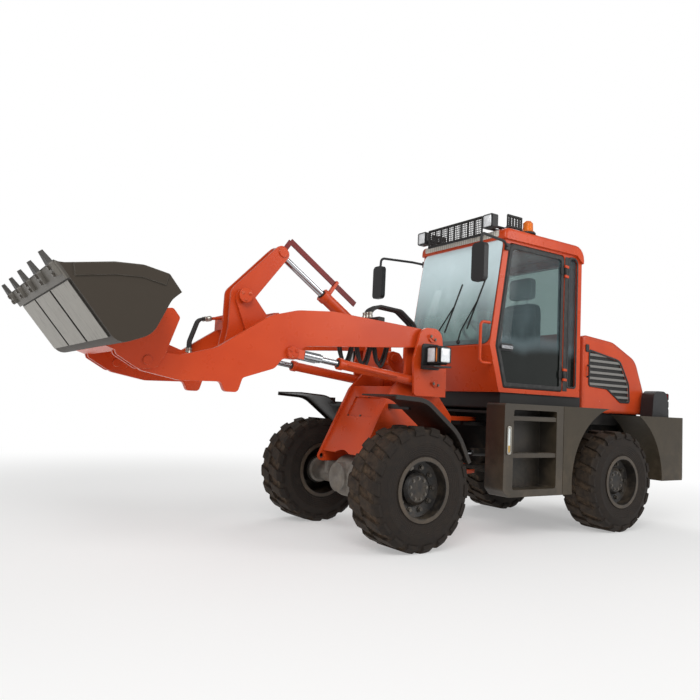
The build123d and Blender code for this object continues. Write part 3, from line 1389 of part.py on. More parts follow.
def grab_rails():
    """Hand rails on the cab's front pillars."""
    x = CAB_KNEE[0] + 90
    y = CAB_HALF - 30
    radius = 13.0
    low = 1500.0
    high = 1860.0
    rise = (CAB_KNEE[0] - CAB_TOE) / (CAB_KNEE[1] - CAB_FLOOR)
    lean = (CAB_BROW - CAB_KNEE[0]) / (CAB_TOP - CAB_KNEE[1])
    x_low = CAB_KNEE[0] + rise * (low + radius - CAB_KNEE[1]) + SEAT_GAP
    x_high = CAB_KNEE[0] + lean * (high - radius - CAB_KNEE[1]) + SEAT_GAP
    return bent([(x_low, y, low), (x, y, low), (x, y, high), (x_high, y, high)], radius, 40)


def hood_rows(inset):
    """Side-view outline of the hood, moved in by an inset."""
    return [
        (HOOD_FRONT - inset, HOOD_LOW, 0),
        (HOOD_FRONT - inset, HOOD_TOP - inset, 40),
        (HOOD_FRONT - 480 + inset * 0.2, HOOD_TOP - 36 - inset, 320),
        (HOOD_REAR + 176 + inset * 0.7, HOOD_TOP - 198 - inset * 0.7, 200),
        (HOOD_REAR + 16 + inset, HOOD_TOP - 548, 300),
        (HOOD_REAR + inset, HOOD_LOW, 0),
    ]


def grille_rows():
    """Side-view outline of a side grille."""
    low = HOOD_LOW + 128
    high = HOOD_TOP - 153
    return [
        (HOOD_FRONT - 110, low + 145, 20),
        (HOOD_FRONT - 110, high, 20),
        (HOOD_REAR + 446, high - 75, 120),
        (HOOD_REAR + 296, low + 180, 120),
        (HOOD_REAR + 280, low, 20),
        (HOOD_REAR + 426, low, 40),
        (HOOD_REAR + 656, low + 130, 60),
    ]


def hood():
    """Hollow engine hood with slatted side grilles, opening about its rear edge."""
    body = slab(hood_rows(0), -HOOD_HALF, HOOD_HALF)
    room_rows = hood_rows(HOOD_WALL)
    room_rows[0] = (HOOD_FRONT - HOOD_WALL, HOOD_LOW - 1, 0)
    room_rows[5] = (HOOD_REAR + HOOD_WALL, HOOD_LOW - 1, 0)
    inside = HOOD_HALF - HOOD_WALL
    body -= slab(room_rows, -inside, inside)
    body -= slab(grille_rows(), -HOOD_HALF - 1, HOOD_HALF + 1)
    side = slab(grille_rows(), inside, HOOD_HALF - 2)
    slats = []
    low = HOOD_LOW + 138
    step = (HOOD_TOP - 158 - low) / SLAT_COUNT
    for i in range(SLAT_COUNT):
        z = low + step * (i + 0.3)
        slats += both(block(HOOD_REAR, HOOD_FRONT, inside, HOOD_HALF - 2, z, z + step * 0.42) & side)
    low = HOOD_LOW + 128
    high = low + 320
    half = HOOD_HALF - 120
    vent_rows = [(-half, low, 30), (half, low, 30), (half, high, 30), (-half, high, 30)]
    body -= wall(vent_rows, HOOD_REAR - 100, HOOD_REAR + 146)
    fins = []
    for i in range(FIN_COUNT):
        y = (half - 40) * (2 * i / (FIN_COUNT - 1) - 1)
        fin = slab(hood_rows(2), y - 8, y + 8) - slab(room_rows, y - 9, y + 9)
        fins.append(fin & block(HOOD_REAR - 50, HOOD_REAR + 196, -HOOD_HALF, HOOD_HALF, low - 4, high + 6))
    half = HOOD_KNUCKLE_W / 2
    knuckle = cross(HOOD_HINGE, HOOD_KNUCKLE_R, HOOD_HINGE_Y - half, HOOD_HINGE_Y + half)
    x, z = HOOD_HINGE
    strap = block(x, HOOD_REAR + HOOD_WALL / 2, HOOD_HINGE_Y - half, HOOD_HINGE_Y + half, z - 6, z + 10)
    return fused(body, *slats, *fins, *both(knuckle), *both(strap))


wheels()
axles()
nodes["front_frame"] = front_frame()
nodes["frame_cross"] = frame_cross()
nodes["front_fenders"] = both(front_fenders())
nodes["headlamps"] = both(headlamps())
nodes["boom"] = boom()
nodes["boom_tube"] = boom_tube()
nodes["boom_hoses"] = boom_hoses()
nodes["boom_pipes"] = boom_pipes()
nodes["rocker"] = rocker()
nodes["tilt_link"] = tilt_link()
nodes["bucket"] = bucket()
nodes["bucket_edge"] = bucket_edge()
nodes["coupler"] = coupler()
lift_cylinders()
tilt_cylinder()
steer_cylinders()
nodes["rear_chassis"] = rear_chassis()
nodes["engine"] = engine()
nodes["step_boxes"] = both(step_boxes())
nodes["rear_fenders"] = both(rear_fenders())
nodes["counterweight"] = counterweight()
nodes["tow_hitch"] = tow_hitch()
nodes["cab_shell"] = cab_shell()
nodes["cab_roof"] = cab_roof()
nodes["cab_glass"] = cab_glass()
doors()
nodes["seat"] = seat()
nodes["steering_column"] = steering_column()
nodes["roof_guard"] = roof_guard()
nodes["lamps"] = lamps()
nodes["beacon"] = beacon()
nodes["mirrors"] = both(mirrors())
nodes["grab_rails"] = both(grab_rails())
nodes["hood"] = hood()

# The origin is the middle of the machine's footprint
pieces = []
for shape in nodes.values():
    pieces += shape if isinstance(shape, list) else [shape]
box = Compound(children=[Compound(piece.wrapped) for piece in pieces]).bounding_box()
X_MID = (box.min.X + box.max.X) / 2

os.makedirs("parts", exist_ok=True)
for name, shape in nodes.items():
    solids = []
    for piece in shape if isinstance(shape, list) else [shape]:
        solids += (Pos(-X_MID, 0, 0) * piece).solids()
    export_step(Compound(solids), "parts/" + name + ".step")
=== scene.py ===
from math import cos, exp, pi, radians, sin

import bmesh
import bpy
from mathutils import Matrix, Vector


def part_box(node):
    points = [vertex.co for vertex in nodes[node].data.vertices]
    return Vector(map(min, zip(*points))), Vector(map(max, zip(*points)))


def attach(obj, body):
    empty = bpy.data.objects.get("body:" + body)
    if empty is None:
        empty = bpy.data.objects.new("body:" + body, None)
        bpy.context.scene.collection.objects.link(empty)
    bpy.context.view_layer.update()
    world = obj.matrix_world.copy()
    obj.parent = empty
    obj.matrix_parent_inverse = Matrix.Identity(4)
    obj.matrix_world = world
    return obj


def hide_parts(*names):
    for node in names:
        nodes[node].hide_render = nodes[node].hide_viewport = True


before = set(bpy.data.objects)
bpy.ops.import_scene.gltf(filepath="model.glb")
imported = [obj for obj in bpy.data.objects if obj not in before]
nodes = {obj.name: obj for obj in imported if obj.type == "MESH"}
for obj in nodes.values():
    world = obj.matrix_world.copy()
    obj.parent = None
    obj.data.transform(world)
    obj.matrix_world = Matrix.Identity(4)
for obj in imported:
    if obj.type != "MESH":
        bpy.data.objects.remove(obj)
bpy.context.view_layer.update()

# Studio: a pale floor that fades into white, soft light from all round, and the camera at the
# photograph's angle. Distances are measured from the front axle's middle, on the ground.
front_low, front_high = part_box("tyre_front_left")
FRONT_X = (front_low.x + front_high.x) / 2


def at(x, y, z):
    """Row point from a place measured from the front axle, in metres."""
    return Vector((x + FRONT_X, y, z))


class Wire:
    """A socket in a material's tree; arithmetic on wires adds Math nodes."""

    def __init__(self, finish, socket):
        self.finish = finish
        self.socket = socket

    def maths(self, operation, *values):
        return self.finish.node("ShaderNodeMath", {"operation": operation}, dict(enumerate(values)))

    def __add__(self, other):
        return self.maths("ADD", self, other)

    __radd__ = __add__

    def __sub__(self, other):
        return self.maths("SUBTRACT", self, other)

    def __rsub__(self, other):
        return self.maths("SUBTRACT", other, self)

    def __mul__(self, other):
        return self.maths("MULTIPLY", self, other)

    __rmul__ = __mul__

    def __pow__(self, other):
        return self.maths("POWER", self, other)

    def absolute(self):
        return self.maths("ABSOLUTE", self)

    def wave(self):
        return self.maths("SINE", self)

    def fade(self, low, high):
        """0 below low and 1 above high, smooth between them."""
        settings = {"interpolation_type": "SMOOTHSTEP"}
        return self.finish.node("ShaderNodeMapRange", settings, {0: self, 1: low, 2: high})


class Finish:
    """A material in the making: its tree, its shader and the piece's own coordinates."""

    def __init__(self, name):
        self.material = bpy.data.materials.new(name)
        self.material.use_nodes = True
        self.tree = self.material.node_tree
        self.shader = self.tree.nodes["Principled BSDF"]
        self.place = self.node("ShaderNodeTexCoord", output="Object")

    def node(self, kind, settings=None, inputs=None, output=0):
        made = self.tree.nodes.new(kind)
        for key, value in (settings or {}).items():
            setattr(made, key, value)
        for key, value in (inputs or {}).items():
            self.join(made.inputs[key], value)
        return Wire(self, made.outputs[output])

    def join(self, socket, value):
        if isinstance(value, Wire):
            self.tree.links.new(value.socket, socket)
        else:
            socket.default_value = value

    def noise(self, scale, detail=3.0, rough=0.55):
        inputs = {"Vector": self.place, "Scale": scale, "Detail": detail, "Roughness": rough}
        return self.node("ShaderNodeTexNoise", None, inputs)

    def xyz(self):
        return [self.node("ShaderNodeSeparateXYZ", None, {0: self.place}, i) for i in range(3)]

    def blend(self, factor, first, second):
        """Colour that goes from the first to the second as the factor rises."""
        return self.node("ShaderNodeMix", {"data_type": "RGBA"}, {0: factor, 6: first, 7: second}, 2)

    def soft_edges(self, radius):
        return self.node("ShaderNodeBevel", {"samples": 4}, {"Radius": radius})

    def edges(self, rounded):
        """Rises along sharp edges, where the rounded normal leaves the flat one."""
        flat = self.node("ShaderNodeNewGeometry", output="Normal")
        inputs = {0: rounded, 1: flat}
        same = self.node("ShaderNodeVectorMath", {"operation": "DOT_PRODUCT"}, inputs, "Value")
        return (1.0 - same).fade(0.01, 0.12)

    def bump(self, height, distance, under=None):
        inputs = {"Height": height, "Distance": distance, "Strength": 1.0}
        if under is not None:
            inputs["Normal"] = under
        return self.node("ShaderNodeBump", None, inputs)

    def set(self, **sockets):
        for key, value in sockets.items():
            self.join(self.shader.inputs[key.replace("_", " ")], value)
        return self.material


def colour(red, green, blue):
    """Linear colour from a 0 to 255 screen colour."""
    linear = [c / 3294.6 if c < 11 else ((c / 255 + 0.055) / 1.055) ** 2.4 for c in (red, green, blue)]
    return (*linear, 1.0)


scene = bpy.context.scene
scene.view_settings.view_transform = "Standard"

FLOOR_HALF = 60.0
floor_corners = [(FLOOR_HALF * a, FLOOR_HALF * b, 0) for a, b in ((-1, -1), (1, -1), (1, 1), (-1, 1))]
floor_mesh = bpy.data.meshes.new("floor")
floor_mesh.from_pydata(floor_corners, [], [(0, 1, 2, 3)])
floor = bpy.data.objects.new("floor", floor_mesh)
scene.collection.objects.link(floor)
paving = Finish("floor")
paving.set(Base_Color=colour(246, 246, 245), Roughness=0.9)
x, y, _ = paving.xyz()
FADE_START, FADE_END = 4.0, 8.5
far = ((x * x + y * y) ** 0.5).fade(FADE_START, FADE_END) * 0.65 + 0.35
glow = paving.node("ShaderNodeEmission", None, {"Color": (1, 1, 1, 1), "Strength": 1.0})
lit = Wire(paving, paving.shader.outputs[0])
floor_mix = paving.node("ShaderNodeMixShader", None, {0: far, 1: lit, 2: glow})
paving.join(paving.tree.nodes["Material Output"].inputs["Surface"], floor_mix)
floor_mesh.materials.append(paving.material)

world = bpy.data.worlds.new("studio")
world.use_nodes = True
scene.world = world
sky = world.node_tree
backdrop = sky.nodes["Background"]
backdrop.inputs["Color"].default_value = (1, 1, 1, 1)
path = sky.nodes.new("ShaderNodeLightPath")
seen = sky.nodes.new("ShaderNodeMath")
seen.operation = "MAXIMUM"
sky.links.new(path.outputs["Is Camera Ray"], seen.inputs[0])
sky.links.new(path.outputs["Is Transmission Ray"], seen.inputs[1])
strength = sky.nodes.new("ShaderNodeMapRange")
strength.inputs["To Min"].default_value = 0.47
strength.inputs["To Max"].default_value = 1.0
sky.links.new(seen.outputs[0], strength.inputs["Value"])
sky.links.new(strength.outputs[0], backdrop.inputs["Strength"])

for name, spot, size, watts in (
    ("key", (5.5, 6.5, 7.0), 5.0, 480),
    ("side", (-5.0, 7.0, 4.5), 4.0, 200),
    ("rear", (-6.0, -6.0, 6.0), 5.0, 240),
):
    lamp = bpy.data.lights.new(name, "AREA")
    lamp.energy = watts
    lamp.size = size
    holder = bpy.data.objects.new(name, lamp)
    scene.collection.objects.link(holder)
    holder.location = spot
    holder.rotation_euler = (Vector((0, 0, 1.0)) - Vector(spot)).to_track_quat("-Z", "Y").to_euler()

heading, pitch, roll = radians(-123.68), radians(4.54), radians(2.72)
ahead = Vector((cos(heading) * cos(pitch), sin(heading) * cos(pitch), sin(pitch)))
level = ahead.cross(Vector((0, 0, 1))).normalized()
upright = level.cross(ahead)
right = level * cos(roll) + upright * sin(roll)
above = upright * cos(roll) - level * sin(roll)
lens = bpy.data.cameras.new("camera")
lens.sensor_width = 36.0
lens.lens = 34.66
camera = bpy.data.objects.new("camera", lens)
scene.collection.objects.link(camera)
turn = Matrix((right, above, -ahead)).transposed().to_4x4()
camera_spot = at(3.314, 4.782, 1.086)
camera.matrix_world = Matrix.Translation(camera_spot) @ turn
scene.camera = camera


# Rear chassis with its gearbox and tow jaw: welded plate, sprayed matt black, with road dust that
# settles on what faces up and thickens towards the ground.
def dress(finish, *names):
    """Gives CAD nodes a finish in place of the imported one."""
    for name in names:
        mesh = nodes[name].data
        mesh.materials.clear()
        mesh.materials.append(finish)


def upward(finish):
    """Z part of the surface's own normal."""
    normal = finish.node("ShaderNodeNewGeometry", output="Normal")
    return finish.node("ShaderNodeSeparateXYZ", None, {0: normal}, 2)


def dusty(finish, paint, amount):
    """Paint colour with dust on upward faces and towards the ground, and its mask."""
    low = 1.0 - finish.xyz()[2].fade(0.15, 1.3)
    cloud = finish.noise(7.0, 6.0, 0.65).fade(0.38, 0.72)
    mask = (upward(finish).fade(0.2, 0.95) * 0.45 + low * 0.75) * cloud * amount
    return finish.blend(mask, paint, colour(126, 110, 90)), mask


def enamel(name, paint, shade, gloss, dust=0.35, peel=0.00012, edge_wear_and_highlight=None):
    """Sprayed paint: slow colour drift, soft edges, orange peel, and a paler edge colour, rubbed paint and a
    painted highlight.
    """
    finish = Finish(name)
    rounded = finish.soft_edges(0.004)
    drift = finish.noise(1.7, 2.0).fade(0.3, 0.7)
    coat = finish.blend(drift, paint, shade)
    if edge_wear_and_highlight is not None:
        rub_and_highlight = finish.edges(rounded) * finish.noise(23.0, 5.0).fade(0.5, 0.68)
        coat = finish.blend(rub_and_highlight, coat, edge_wear_and_highlight)
    coat, mask = dusty(finish, coat, dust)
    rough = gloss + finish.noise(11.0, 4.0) * 0.14 + mask * 0.4
    grain = finish.noise(260.0, 2.0)
    finish.set(Specular_IOR_Level=0.32)
    return finish.set(Base_Color=coat, Roughness=rough, Normal=finish.bump(grain, peel, rounded))


black_plate = enamel(
    "black_plate", colour(32, 31, 30), colour(25, 24, 24), 0.4, 0.5, 0.0002, colour(84, 77, 70),
)
# A coat is a finish with the slot that it is listed under.
BLACK_METAL = (black_plate, "black_metal")
dress(black_plate, "rear_chassis", "tow_hitch", "steer_barrel_left", "steer_barrel_right")


# Engine and axles: grey sand-cast iron, bolted into the chassis and the front frame, with a grainy
# skin and oil-darkened patches.
def casting(name, tone, dark):
    """Rough cast skin with darker oily patches."""
    finish = Finish(name)
    rounded = finish.soft_edges(0.008)
    patch = finish.noise(5.0, 5.0).fade(0.42, 0.66)
    skin, _ = dusty(finish, finish.blend(patch, tone, dark), 0.5)
    grain = finish.noise(140.0, 5.0, 0.7)
    rough = 0.55 + grain * 0.2 - patch * 0.12
    return finish.set(Base_Color=skin, Roughness=rough, Normal=finish.bump(grain, 0.0009, rounded))


cast_iron = casting("cast_iron", colour(122, 117, 110), colour(86, 81, 75))
dress(cast_iron, "engine", "front_axle", "rear_axle")


# Wheels: lugged rubber tyres with ribbed sidewalls, dust in the grooves, on black pressed rims
# with a ring of nuts and a bolted planetary hub.
def rubber(name, centre, outer):
    """Tyre rubber about a wheel's axis: ribbed sidewall, pale dust low in the tread."""
    finish = Finish(name)
    x, y, z = finish.xyz()
    radius = ((x - centre.x) ** 2 + (z - centre.z) ** 2) ** 0.5
    across = (y - centre.y).absolute()
    groove = 1.0 - radius.fade(outer - 0.026, outer - 0.006)
    wall = across.fade(0.13, 0.17)
    cloud = finish.noise(16.0, 6.0, 0.7)
    dirt = ((groove * 0.4 + 0.3) * (1.0 - wall) + wall * 0.06) * cloud.fade(0.25, 0.7)
    tone = finish.blend(cloud, colour(25, 21, 18), colour(36, 30, 26))
    skin = finish.blend(dirt, tone, colour(104, 86, 68))
    ribs = (radius * (2 * pi / 0.016)).wave() * wall * (1.0 - radius.fade(outer - 0.13, outer - 0.10))
    coarse = finish.bump(ribs, 0.0012, finish.soft_edges(0.006))
    grain = finish.bump(finish.noise(190.0, 4.0), 0.0006, coarse)
    finish.set(Specular_IOR_Level=0.3)
    return finish.set(Base_Color=skin, Roughness=0.72 + cloud * 0.2, Normal=grain)


def rim_paint(name, centre):
    """Black wheel paint with painted shade in the dish, and a bronze lip that is rubbed paint and a painted
    highlight.
    """
    finish = Finish(name)
    x, _, z = finish.xyz()
    radius = ((x - centre.x) ** 2 + (z - centre.z) ** 2) ** 0.5
    lip_highlight_and_rub = radius.fade(0.212, 0.222) * (finish.noise(9.0, 3.0) * 0.5 + 0.5)
    tone, dust = dusty(finish, finish.blend(lip_highlight_and_rub, colour(21, 18, 16), colour(66, 56, 45)), 0.35)
    rough = 0.42 + dust * 0.4 + finish.noise(11.0) * 0.12
    grain = finish.bump(finish.noise(260.0), 0.0003, finish.soft_edges(0.004))
    return finish.set(Base_Color=tone, Roughness=rough, Normal=grain)


steel_skin = Finish("bolt_steel")
steel_tone = steel_skin.blend(steel_skin.noise(60.0), colour(126, 121, 114), colour(78, 72, 66))
BOLT_STEEL = (steel_skin.set(Base_Color=steel_tone, Roughness=0.4, Metallic=0.8), "worn_steel")


def bolt_tree():
    """Geometry nodes that stand a hexagon head on a washer at every point, along its facing."""
    tree = bpy.data.node_groups.new("bolt_heads", "GeometryNodeTree")
    face = tree.interface
    face.new_socket("Geometry", in_out="INPUT", socket_type="NodeSocketGeometry")
    for label in ("Across", "Height"):
        face.new_socket(label, in_out="INPUT", socket_type="NodeSocketFloat")
    face.new_socket("Material", in_out="INPUT", socket_type="NodeSocketMaterial")
    face.new_socket("Geometry", in_out="OUTPUT", socket_type="NodeSocketGeometry")
    new, link = tree.nodes.new, tree.links.new
    given, result = new("NodeGroupInput"), new("NodeGroupOutput")

    def times(value, factor):
        product = new("ShaderNodeMath")
        product.operation = "MULTIPLY"
        product.inputs[1].default_value = factor
        link(value, product.inputs[0])
        return product.outputs[0]

    parts = new("GeometryNodeJoinGeometry")
    for corners, wide, tall in ((6, 0.5, 1.0), (14, 0.72, 0.3)):
        disc = new("GeometryNodeMeshCylinder")
        disc.inputs["Vertices"].default_value = corners
        depth = times(given.outputs["Height"], tall)
        link(times(given.outputs["Across"], wide), disc.inputs["Radius"])
        link(depth, disc.inputs["Depth"])
        lift = new("ShaderNodeCombineXYZ")
        link(times(depth, 0.5), lift.inputs["Z"])
        moved = new("GeometryNodeTransform")
        link(disc.outputs["Mesh"], moved.inputs["Geometry"])
        link(lift.outputs[0], moved.inputs["Translation"])
        link(moved.outputs[0], parts.inputs[0])
    facing = new("GeometryNodeInputNamedAttribute")
    facing.data_type = "FLOAT_VECTOR"
    facing.inputs["Name"].default_value = "facing"
    aim = new("FunctionNodeAlignRotationToVector")
    aim.axis = "Z"
    link(facing.outputs[0], aim.inputs["Vector"])
    stand = new("GeometryNodeInstanceOnPoints")
    link(given.outputs["Geometry"], stand.inputs["Points"])
    link(parts.outputs[0], stand.inputs["Instance"])
    link(aim.outputs[0], stand.inputs["Rotation"])
    real = new("GeometryNodeRealizeInstances")
    link(stand.outputs[0], real.inputs[0])
    painted = new("GeometryNodeSetMaterial")
    link(real.outputs[0], painted.inputs["Geometry"])
    link(given.outputs["Material"], painted.inputs["Material"])
    link(painted.outputs[0], result.inputs[0])
    return tree


BOLT_TREE = bolt_tree()


def frozen(piece):
    """The piece with its modifiers or bevel turned into a plain mesh."""
    bpy.context.view_layer.update()
    mesh = bpy.data.meshes.new_from_object(piece.evaluated_get(bpy.context.evaluated_depsgraph_get()))
    name = piece.name
    bpy.data.objects.remove(piece)
    solid = bpy.data.objects.new(name, mesh)
    mesh.name = name
    scene.collection.objects.link(solid)
    return solid


def settle(piece, body):
    """Puts a finished piece on its body."""
    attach(piece, body)
    return piece


def bolts(name, body, spots, across, height, coat=BOLT_STEEL):
    """Bolt heads at (point, facing) spots."""
    finish, slot = coat
    mesh = bpy.data.meshes.new(name)
    mesh.from_pydata([tuple(point) for point, _ in spots], [], [])
    facing = mesh.attributes.new("facing", "FLOAT_VECTOR", "POINT")
    facing.data.foreach_set("vector", [c for _, way in spots for c in way])
    piece = bpy.data.objects.new(name, mesh)
    scene.collection.objects.link(piece)
    maker = piece.modifiers.new("bolts", "NODES")
    maker.node_group = BOLT_TREE
    values = {"Across": across, "Height": height, "Material": finish}
    for item in BOLT_TREE.interface.items_tree:
        if item.in_out == "INPUT" and item.name in values:
            maker[item.identifier] = values[item.name]
    return settle(frozen(piece), body)


def ring_spots(centre, radius, count, facing, start=0.0):
    """Spots on a circle about an axis along Y."""
    turns = [start + 2 * pi * i / count for i in range(count)]
    return [(centre + Vector((radius * cos(a), 0, radius * sin(a))), facing) for a in turns]


NUT_FACE, NUT_CIRCLE = 0.066, 0.165
HUB_FACE, HUB_CIRCLE = 0.109, 0.078
for wheel in ("front_left", "front_right", "rear_left", "rear_right"):
    low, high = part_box("tyre_" + wheel)
    centre = (low + high) / 2
    dress(rubber("rubber_" + wheel, centre, (high.z - low.z) / 2), "tyre_" + wheel)
    dress(rim_paint("rim_" + wheel, centre), "rim_" + wheel)
    out = Vector((0, 1 if centre.y > 0 else -1, 0))
    nuts = ring_spots(centre + out * NUT_FACE, NUT_CIRCLE, 10, out)
    hub = ring_spots(centre + out * HUB_FACE, HUB_CIRCLE, 9, out, 0.2)
    bolts("wheel_nuts_" + wheel, "wheel_" + wheel, nuts, 0.03, 0.024)
    bolts("hub_bolts_" + wheel, "wheel_" + wheel, hub, 0.019, 0.01)


# Front frame: heavy plates in orange enamel that carry the boom between two towers. The pins are
# held by keeper plates, each bolted over a pin's end.
ORANGE, ORANGE_SHADE = colour(199, 71, 28), colour(187, 61, 22)
# The orange's pale edge colour is a painted highlight along the plate edges, as well as rubbed paint.
orange = enamel("orange_enamel", ORANGE, ORANGE_SHADE, 0.22, 0.12, 0.00006, colour(240, 164, 130))
ORANGE_COAT = (orange, "paint_orange")
dress(orange, "front_frame", "frame_cross")


def rounded_rows(rows, steps=5):
    """Flat outline from (a, b, corner radius) rows."""
    points = []
    for i, (a, b, radius) in enumerate(rows):
        corner = Vector((a, b))
        if radius <= 0:
            points.append(corner)
            continue
        before = (Vector(rows[i - 1][:2]) - corner).normalized()
        after = (Vector(rows[(i + 1) % len(rows)][:2]) - corner).normalized()
        half = before.angle(after) / 2
        hub = corner + (before + after).normalized() * (radius / sin(half))
        reach = radius / sin(half) * cos(half)
        first, last = corner + before * reach - hub, corner + after * reach - hub
        for k in range(steps + 1):
            points.append(hub + first.normalized().slerp(last.normalized(), k / steps) * radius)
    return points


def band(mesh, first, second):
    """Faces between two loops of as many points."""
    count = len(first)
    faces = []
    for i in range(count):
        j = (i + 1) % count
        faces.append(mesh.faces.new([first[i], first[j], second[j], second[i]]))
    return faces


def prism(name, body, rows, origin, right_way, up_way, depth, coat, rim=0.002, hole=None):
    """Flat piece with rounded corners and soft edges, or a frame where a hole of as many rows is given."""
    w = right_way.cross(up_way).normalized()
    loops = [rounded_rows(rows)] + ([rounded_rows(hole)] if hole else [])
    mesh = bmesh.new()
    layers = []
    for lift in (0.0, depth):
        layer = []
        for loop in loops:
            layer.append([mesh.verts.new(origin + right_way * p.x + up_way * p.y + w * lift) for p in loop])
        layers.append(layer)
    for first, second in zip(*layers):
        band(mesh, first, second)
    for layer in layers:
        if hole:
            band(mesh, *layer)
        else:
            mesh.faces.new(layer[0])
    bmesh.ops.recalc_face_normals(mesh, faces=mesh.faces)
    sharp = [e for e in mesh.edges if e.calc_face_angle(0) > 1.0]
    bmesh.ops.bevel(mesh, geom=sharp, offset=rim, segments=2, profile=0.5, affect="EDGES", clamp_overlap=True)
    return made(name, mesh, body, coat)


def made(name, mesh, body, coat):
    """Object from a mesh in the making, on its body."""
    finish, slot = coat
    data = bpy.data.meshes.new(name)
    mesh.to_mesh(data)
    mesh.free()
    data.materials.append(finish)
    piece = bpy.data.objects.new(name, data)
    scene.collection.objects.link(piece)
    return settle(piece, body)


def box_rows(wide, tall, radius):
    """Rows of a rectangle about its middle."""
    a, b = wide / 2, tall / 2
    return [(-a, -b, radius), (a, -b, radius), (a, b, radius), (-a, b, radius)]


X, Y, Z = Vector((1, 0, 0)), Vector((0, 1, 0)), Vector((0, 0, 1))


SIDES = (("left", 1), ("right", -1))
KEEPER_T = 0.007
KEEPER_REACH = 0.026


def keepers(name, body, places):
    """Keeper plates with two bolts, at (x, y, z, angle) places on faces that look along Y."""
    spots = []
    for k, (x, y, z, angle) in enumerate(places):
        side = 1 if y > 0 else -1
        run = Vector((cos(angle), 0, sin(angle)))
        rise = Vector((-sin(angle), 0, cos(angle)))
        right_way = run if side < 0 else -run
        spot = at(x, y, z)
        rows = box_rows(0.084, 0.026, 0.006)
        prism(f"{name}_{k}", body, rows, spot, right_way, rise, KEEPER_T, ORANGE_COAT)
        for shift in (-KEEPER_REACH, KEEPER_REACH):
            spots.append((spot + run * shift + Y * side * KEEPER_T, Y * side))
    bolts(name + "_bolts", body, spots, 0.017, 0.009)


COVER_SINK, COVER_STAND = 0.02, 0.005
slope = Vector((-0.459, 0, 0.888)).normalized()
cover_out = Y.cross(slope)
cover_at = at(-0.0596, 0, 1.065)
cover_back, cover_face = cover_at - cover_out * COVER_SINK, cover_at + cover_out * COVER_STAND
cover_rows = box_rows(0.42, 0.225, 0.03)
cover_t = COVER_SINK + COVER_STAND
prism("front_cover", "front_frame", cover_rows, cover_back, Y, slope, cover_t, ORANGE_COAT, 0.003)
cover_grid = [(y, z) for y in (-0.19, 0.0, 0.19) for z in (-0.094, 0.094)]
cover_spots = [(cover_face + Y * y + slope * z, cover_out) for y, z in cover_grid]
bolts("front_cover_bolts", "front_frame", cover_spots, 0.017, 0.008)
keepers("tower_keeper", "front_frame", [(-0.4, 0.459 * s, 1.67, 0.5) for _, s in SIDES])
keepers("lift_keeper", "front_frame", [(-0.45, 0.455 * s, 1.28, 0.2) for _, s in SIDES])

# Boom, rocker and link: the same enamel on thick plate, with pin keepers at each joint, painted
# steel pipes and black wire-braid hoses with crimped steel ends.
dress(orange, "boom", "boom_tube", "boom_pipes", "rocker", "tilt_link", "coupler")
dress(orange, "tilt_barrel", "lift_barrels")


def braided(name):
    """Rubber hose cover with the diagonal print of its wrapping cloth."""
    finish = Finish(name)
    x, y, z = finish.xyz()
    weave = ((x + z) * 900.0).wave() * ((y - z) * 900.0).wave()
    tone = finish.blend(finish.noise(30.0), colour(26, 26, 26), colour(44, 42, 40))
    return finish.set(Base_Color=tone, Roughness=0.55, Normal=finish.bump(weave, 0.0006))


hose_cover = braided("hose_cover")
HOSE = (hose_cover, "hose")
dress(hose_cover, "boom_hoses")


def lathe(name, body, rows, base, axis, coat, turns=28):
    """Turned piece from (distance along the axis, radius) rows, closed at both ends."""
    axis = axis.normalized()
    side = axis.orthogonal().normalized()
    other = axis.cross(side)
    mesh = bmesh.new()
    rings = []
    for along, radius in rows:
        ring = []
        for i in range(turns):
            a = 2 * pi * i / turns
            ring.append(mesh.verts.new(base + axis * along + (side * cos(a) + other * sin(a)) * radius))
        rings.append(ring)
    for first, second in zip(rings, rings[1:]):
        band(mesh, first, second)
    mesh.faces.new(rings[0])
    mesh.faces.new(rings[-1])
    bmesh.ops.recalc_face_normals(mesh, faces=mesh.faces)
    for face in mesh.faces:
        face.smooth = len(face.verts) == 4
    return made(name, mesh, body, coat)


BOSS = [(0.0, 1.0), (0.9, 1.0), (1.0, 0.93)]


def boss(name, body, x, y, z, radius, height):
    """Round pin cover with three bolts, on a face that looks along Y."""
    out = Y if y > 0 else -Y
    rows = [(along * height, r * radius) for along, r in BOSS]
    lathe(name, body, rows, at(x, y, z), out, ORANGE_COAT, 36)
    spots = ring_spots(at(x, y, z) + out * height, radius * 0.6, 3, out, 0.6)
    bolts(name + "_bolts", body, spots, 0.018, 0.009, ORANGE_COAT)


for tag, s in SIDES:
    boss("rocker_boss_" + tag, "boom", 1.18, 0.1245 * s, 1.865, 0.056, 0.012)
    boss("lift_boss_" + tag, "lift_rods", 0.907, 0.4125 * s, 1.442, 0.046, 0.012)
    boss("bucket_boss_" + tag, "boom", 1.98, 0.392 * s, 1.306, 0.05, 0.01)

zinc_skin = Finish("zinc_plate")
zinc_tone = zinc_skin.blend(zinc_skin.noise(45.0), colour(186, 182, 172), colour(150, 146, 138))
zinc = zinc_skin.set(Base_Color=zinc_tone, Metallic=0.85, Roughness=0.28 + zinc_skin.noise(80.0) * 0.15)
ZINC = (zinc, "chrome")
CRIMP = [
    (0.0, 0.0205), (0.004, 0.0215), (0.026, 0.0205), (0.03, 0.0165),
    (0.034, 0.0165), (0.05, 0.0195), (0.054, 0.0185),
]
CRIMP_TURNS = 20
swivel_way, pipe_way = Vector((0.083, 0, 1)), Vector((0.59, 0, -0.091))
for k, y in enumerate((0.150, 0.192, 0.234)):
    lathe(f"loop_crimp_{k}", "boom", CRIMP, at(0.095, y, 1.800), Z, ZINC, CRIMP_TURNS)
    lathe(f"swivel_crimp_{k}", "boom", CRIMP, at(-0.3968, y, 1.709), swivel_way, ZINC, CRIMP_TURNS)
